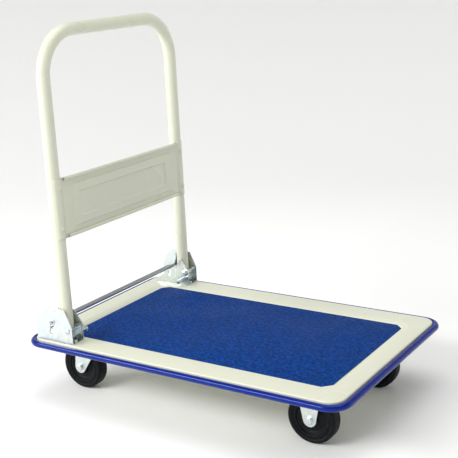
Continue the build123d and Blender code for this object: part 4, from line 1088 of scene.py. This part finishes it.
class CART_OT_handle(bpy.types.Operator):
    """Builds the bent handle tube, its pressed panel and the panel's rivets"""
    bl_idname = "cart.handle"
    bl_label = "Handle and panel"

    def execute(self, context):
        sizes = context.scene.cart_sizes
        handle_bow(sizes)
        panel_sheet(sizes)
        rivet_heads()
        return {"FINISHED"}


class CART_OT_plates(bpy.types.Operator):
    """Builds the stamped brackets, shoes, latch plates and caster forks"""
    bl_idname = "cart.plates"
    bl_label = "Brackets and forks"

    def execute(self, context):
        edge = context.scene.cart_sizes.plate_edge
        bodies = {"bracket": "frame", "handle_shoe": "handle", "latch_plate": "release_bar",
                  "fixed_fork": "frame"}
        for name in SIDES:
            for kind, body in [*bodies.items(), ("swivel_fork", f"swivel_{name}")]:
                node = f"{kind}_{name}"
                place(stamped_plate(node, edge), body, "zinc_plate", node)
        return {"FINISHED"}


class CART_OT_release(bpy.types.Operator):
    """Builds the release bar, its springs, clips and anchor pins"""
    bl_idname = "cart.release"
    bl_label = "Release bar and springs"

    def execute(self, context):
        release_rod()
        push_clips()
        anchor_pins()
        for name, side in SIDES.items():
            release_coil(name, side, context.scene.cart_sizes.spring_wire)
        return {"FINISHED"}


class CART_OT_fasteners(bpy.types.Operator):
    """Builds the bolts, nuts, washers and studs"""
    bl_idname = "cart.fasteners"
    bl_label = "Bolts, nuts and studs"

    def execute(self, context):
        pivot_screws()
        pivot_lock_nuts()
        cheek_studs()
        base_bolts()
        caster_screws()
        for end in ENDS:
            for name, side in SIDES.items():
                axle_hardware(end, name, side)
        return {"FINISHED"}


class CART_OT_wheels(bpy.types.Operator):
    """Builds the four tyres and wheel centres"""
    bl_idname = "cart.wheels"
    bl_label = "Wheels"

    def execute(self, context):
        for end in ENDS:
            for name in SIDES:
                rolling_tyre(end, name)
                wheel_centre(end, name)
        return {"FINISHED"}


class CART_OT_carried(bpy.types.Operator):
    """Gives the CAD nodes that stay visible their finishes"""
    bl_idname = "cart.carried"
    bl_label = "Finishes of the other parts"

    def execute(self, context):
        for part in frame["record"]["subparts"]:
            node = frame["nodes"][part["node"]]
            node.data.materials.clear()
            node.data.materials.append(finish(part["material_slot"]))
        return {"FINISHED"}


class CART_OT_stage(bpy.types.Operator):
    """Sets up the pale floor, the soft studio lights and the camera"""
    bl_idname = "cart.stage"
    bl_label = "Floor, lights and camera"

    def execute(self, context):
        make_floor(context.scene.cart_colours.floor)
        make_lights()
        make_camera()
        return {"FINISHED"}


# ---- stage -----------------------------------------------------------------------------------------

def make_floor(tone):
    """A wide pale sheet that curves up all round: z = rise * (distance beyond the flat part)^2."""
    x = np.linspace(-6, 6, 61)
    flat = np.stack(np.meshgrid(x, x, indexing="ij"), axis=-1)
    beyond = np.clip(np.linalg.norm(flat, axis=-1) - FLOOR_RADIUS, 0, None)
    points = np.concatenate([flat, (FLOOR_RISE * beyond ** 2)[..., None]], axis=-1)
    floor = make_piece("studio_floor", [grid(points)], studio_paper(list(tone)), closed=False)
    if floor.data.polygons[0].normal.z < 0:
        floor.data.flip_normals()


FLOOR_RADIUS = 1.9
FLOOR_RISE = 0.2


def aim(target_from, target_to):
    """Rotation that points an object's -Z axis from one point to another."""
    return (Vector(target_to) - Vector(target_from)).to_track_quat("-Z", "Y").to_euler()


# Each softbox: its place, its width, its height and its power in watts.
SOFTBOXES = {
    "key": ((-1.8, -2.8, 2.2), 3.0, 0.6, 122),
    "top": ((0.3, 0.4, 3.2), 2.6, 2.6, 45),
}
SURROUND = 0.42


def make_lights():
    """A wide soft key from the left front, a softbox overhead, and an even pale surround."""
    world = bpy.data.worlds.new("studio")
    bpy.context.scene.world = world
    world.use_nodes = True
    background = world.node_tree.nodes["Background"]
    background.inputs["Color"].default_value = (1.0, 1.0, 1.0, 1.0)
    background.inputs["Strength"].default_value = SURROUND
    target = (-0.05, 0.0, 0.3)
    for name, (spot, width, height, power) in SOFTBOXES.items():
        light = bpy.data.lights.new(name, "AREA")
        light.shape = "RECTANGLE"
        light.size = width
        light.size_y = height
        light.energy = power
        lamp = bpy.data.objects.new(name, light)
        lamp.location = spot
        lamp.rotation_euler = aim(spot, target)
        bpy.context.scene.collection.objects.link(lamp)
    bpy.context.scene.view_settings.view_transform = "Standard"


CAMERA_AZIMUTH = 33.41
CAMERA_ELEVATION = 15.44
CAMERA_ROLL = -2.92
CAMERA_DISTANCE = 2006.2 * MM
CAMERA_TARGET = np.array((3.49, -1.90, 348.2)) * MM
LENS = 78.04


def make_camera():
    """Camera that looks at the target from an azimuth and an elevation, rolled a little."""
    a, e, r = (math.radians(angle) for angle in (CAMERA_AZIMUTH, CAMERA_ELEVATION, CAMERA_ROLL))
    back = np.array((math.sin(a) * math.cos(e), -math.cos(a) * math.cos(e), math.sin(e)))
    right = np.array((math.cos(a), math.sin(a), 0.0))
    up = np.cross(back, right)
    columns = (right * math.cos(r) + up * math.sin(r), up * math.cos(r) - right * math.sin(r), back)
    turn = Matrix([[float(column[row]) for column in columns] for row in range(3)])
    lens = bpy.data.cameras.new("camera")
    lens.sensor_width = 36.0
    lens.lens = LENS
    lens.clip_end = 50.0
    camera = bpy.data.objects.new("camera", lens)
    camera.matrix_world = Matrix.Translation(Vector(CAMERA_TARGET + back * CAMERA_DISTANCE)) @ turn.to_4x4()
    bpy.context.scene.collection.objects.link(camera)
    bpy.context.scene.camera = camera


# ---- add-on ----------------------------------------------------------------------------------------

OPERATORS = (CART_OT_carried, CART_OT_deck, CART_OT_handle, CART_OT_plates, CART_OT_release,
             CART_OT_fasteners,
             CART_OT_wheels, CART_OT_stage)


class CART_PT_panel(bpy.types.Panel):
    """Lists the cart's pieces, sizes and colours"""
    bl_idname = "CART_PT_panel"
    bl_label = "Platform cart"
    bl_space_type = "VIEW_3D"
    bl_region_type = "UI"
    bl_category = "Cart"

    def draw(self, context):
        for group in (context.scene.cart_sizes, context.scene.cart_colours):
            for name in group.__annotations__:
                self.layout.prop(group, name)
        for operator in OPERATORS:
            self.layout.operator(operator.bl_idname)


CLASSES = (CartSizes, CartColours, *OPERATORS, CART_PT_panel)


def register():
    for cls in CLASSES:
        bpy.utils.register_class(cls)
    bpy.types.Scene.cart_sizes = bpy.props.PointerProperty(type=CartSizes)
    bpy.types.Scene.cart_colours = bpy.props.PointerProperty(type=CartColours)


def unregister():
    del bpy.types.Scene.cart_colours
    del bpy.types.Scene.cart_sizes
    for cls in reversed(CLASSES):
        bpy.utils.unregister_class(cls)


def main():
    register()
    for operator in OPERATORS:
        group, name = operator.bl_idname.split(".")
        getattr(getattr(bpy.ops, group), name)()


if __name__ == "__main__":
    main()
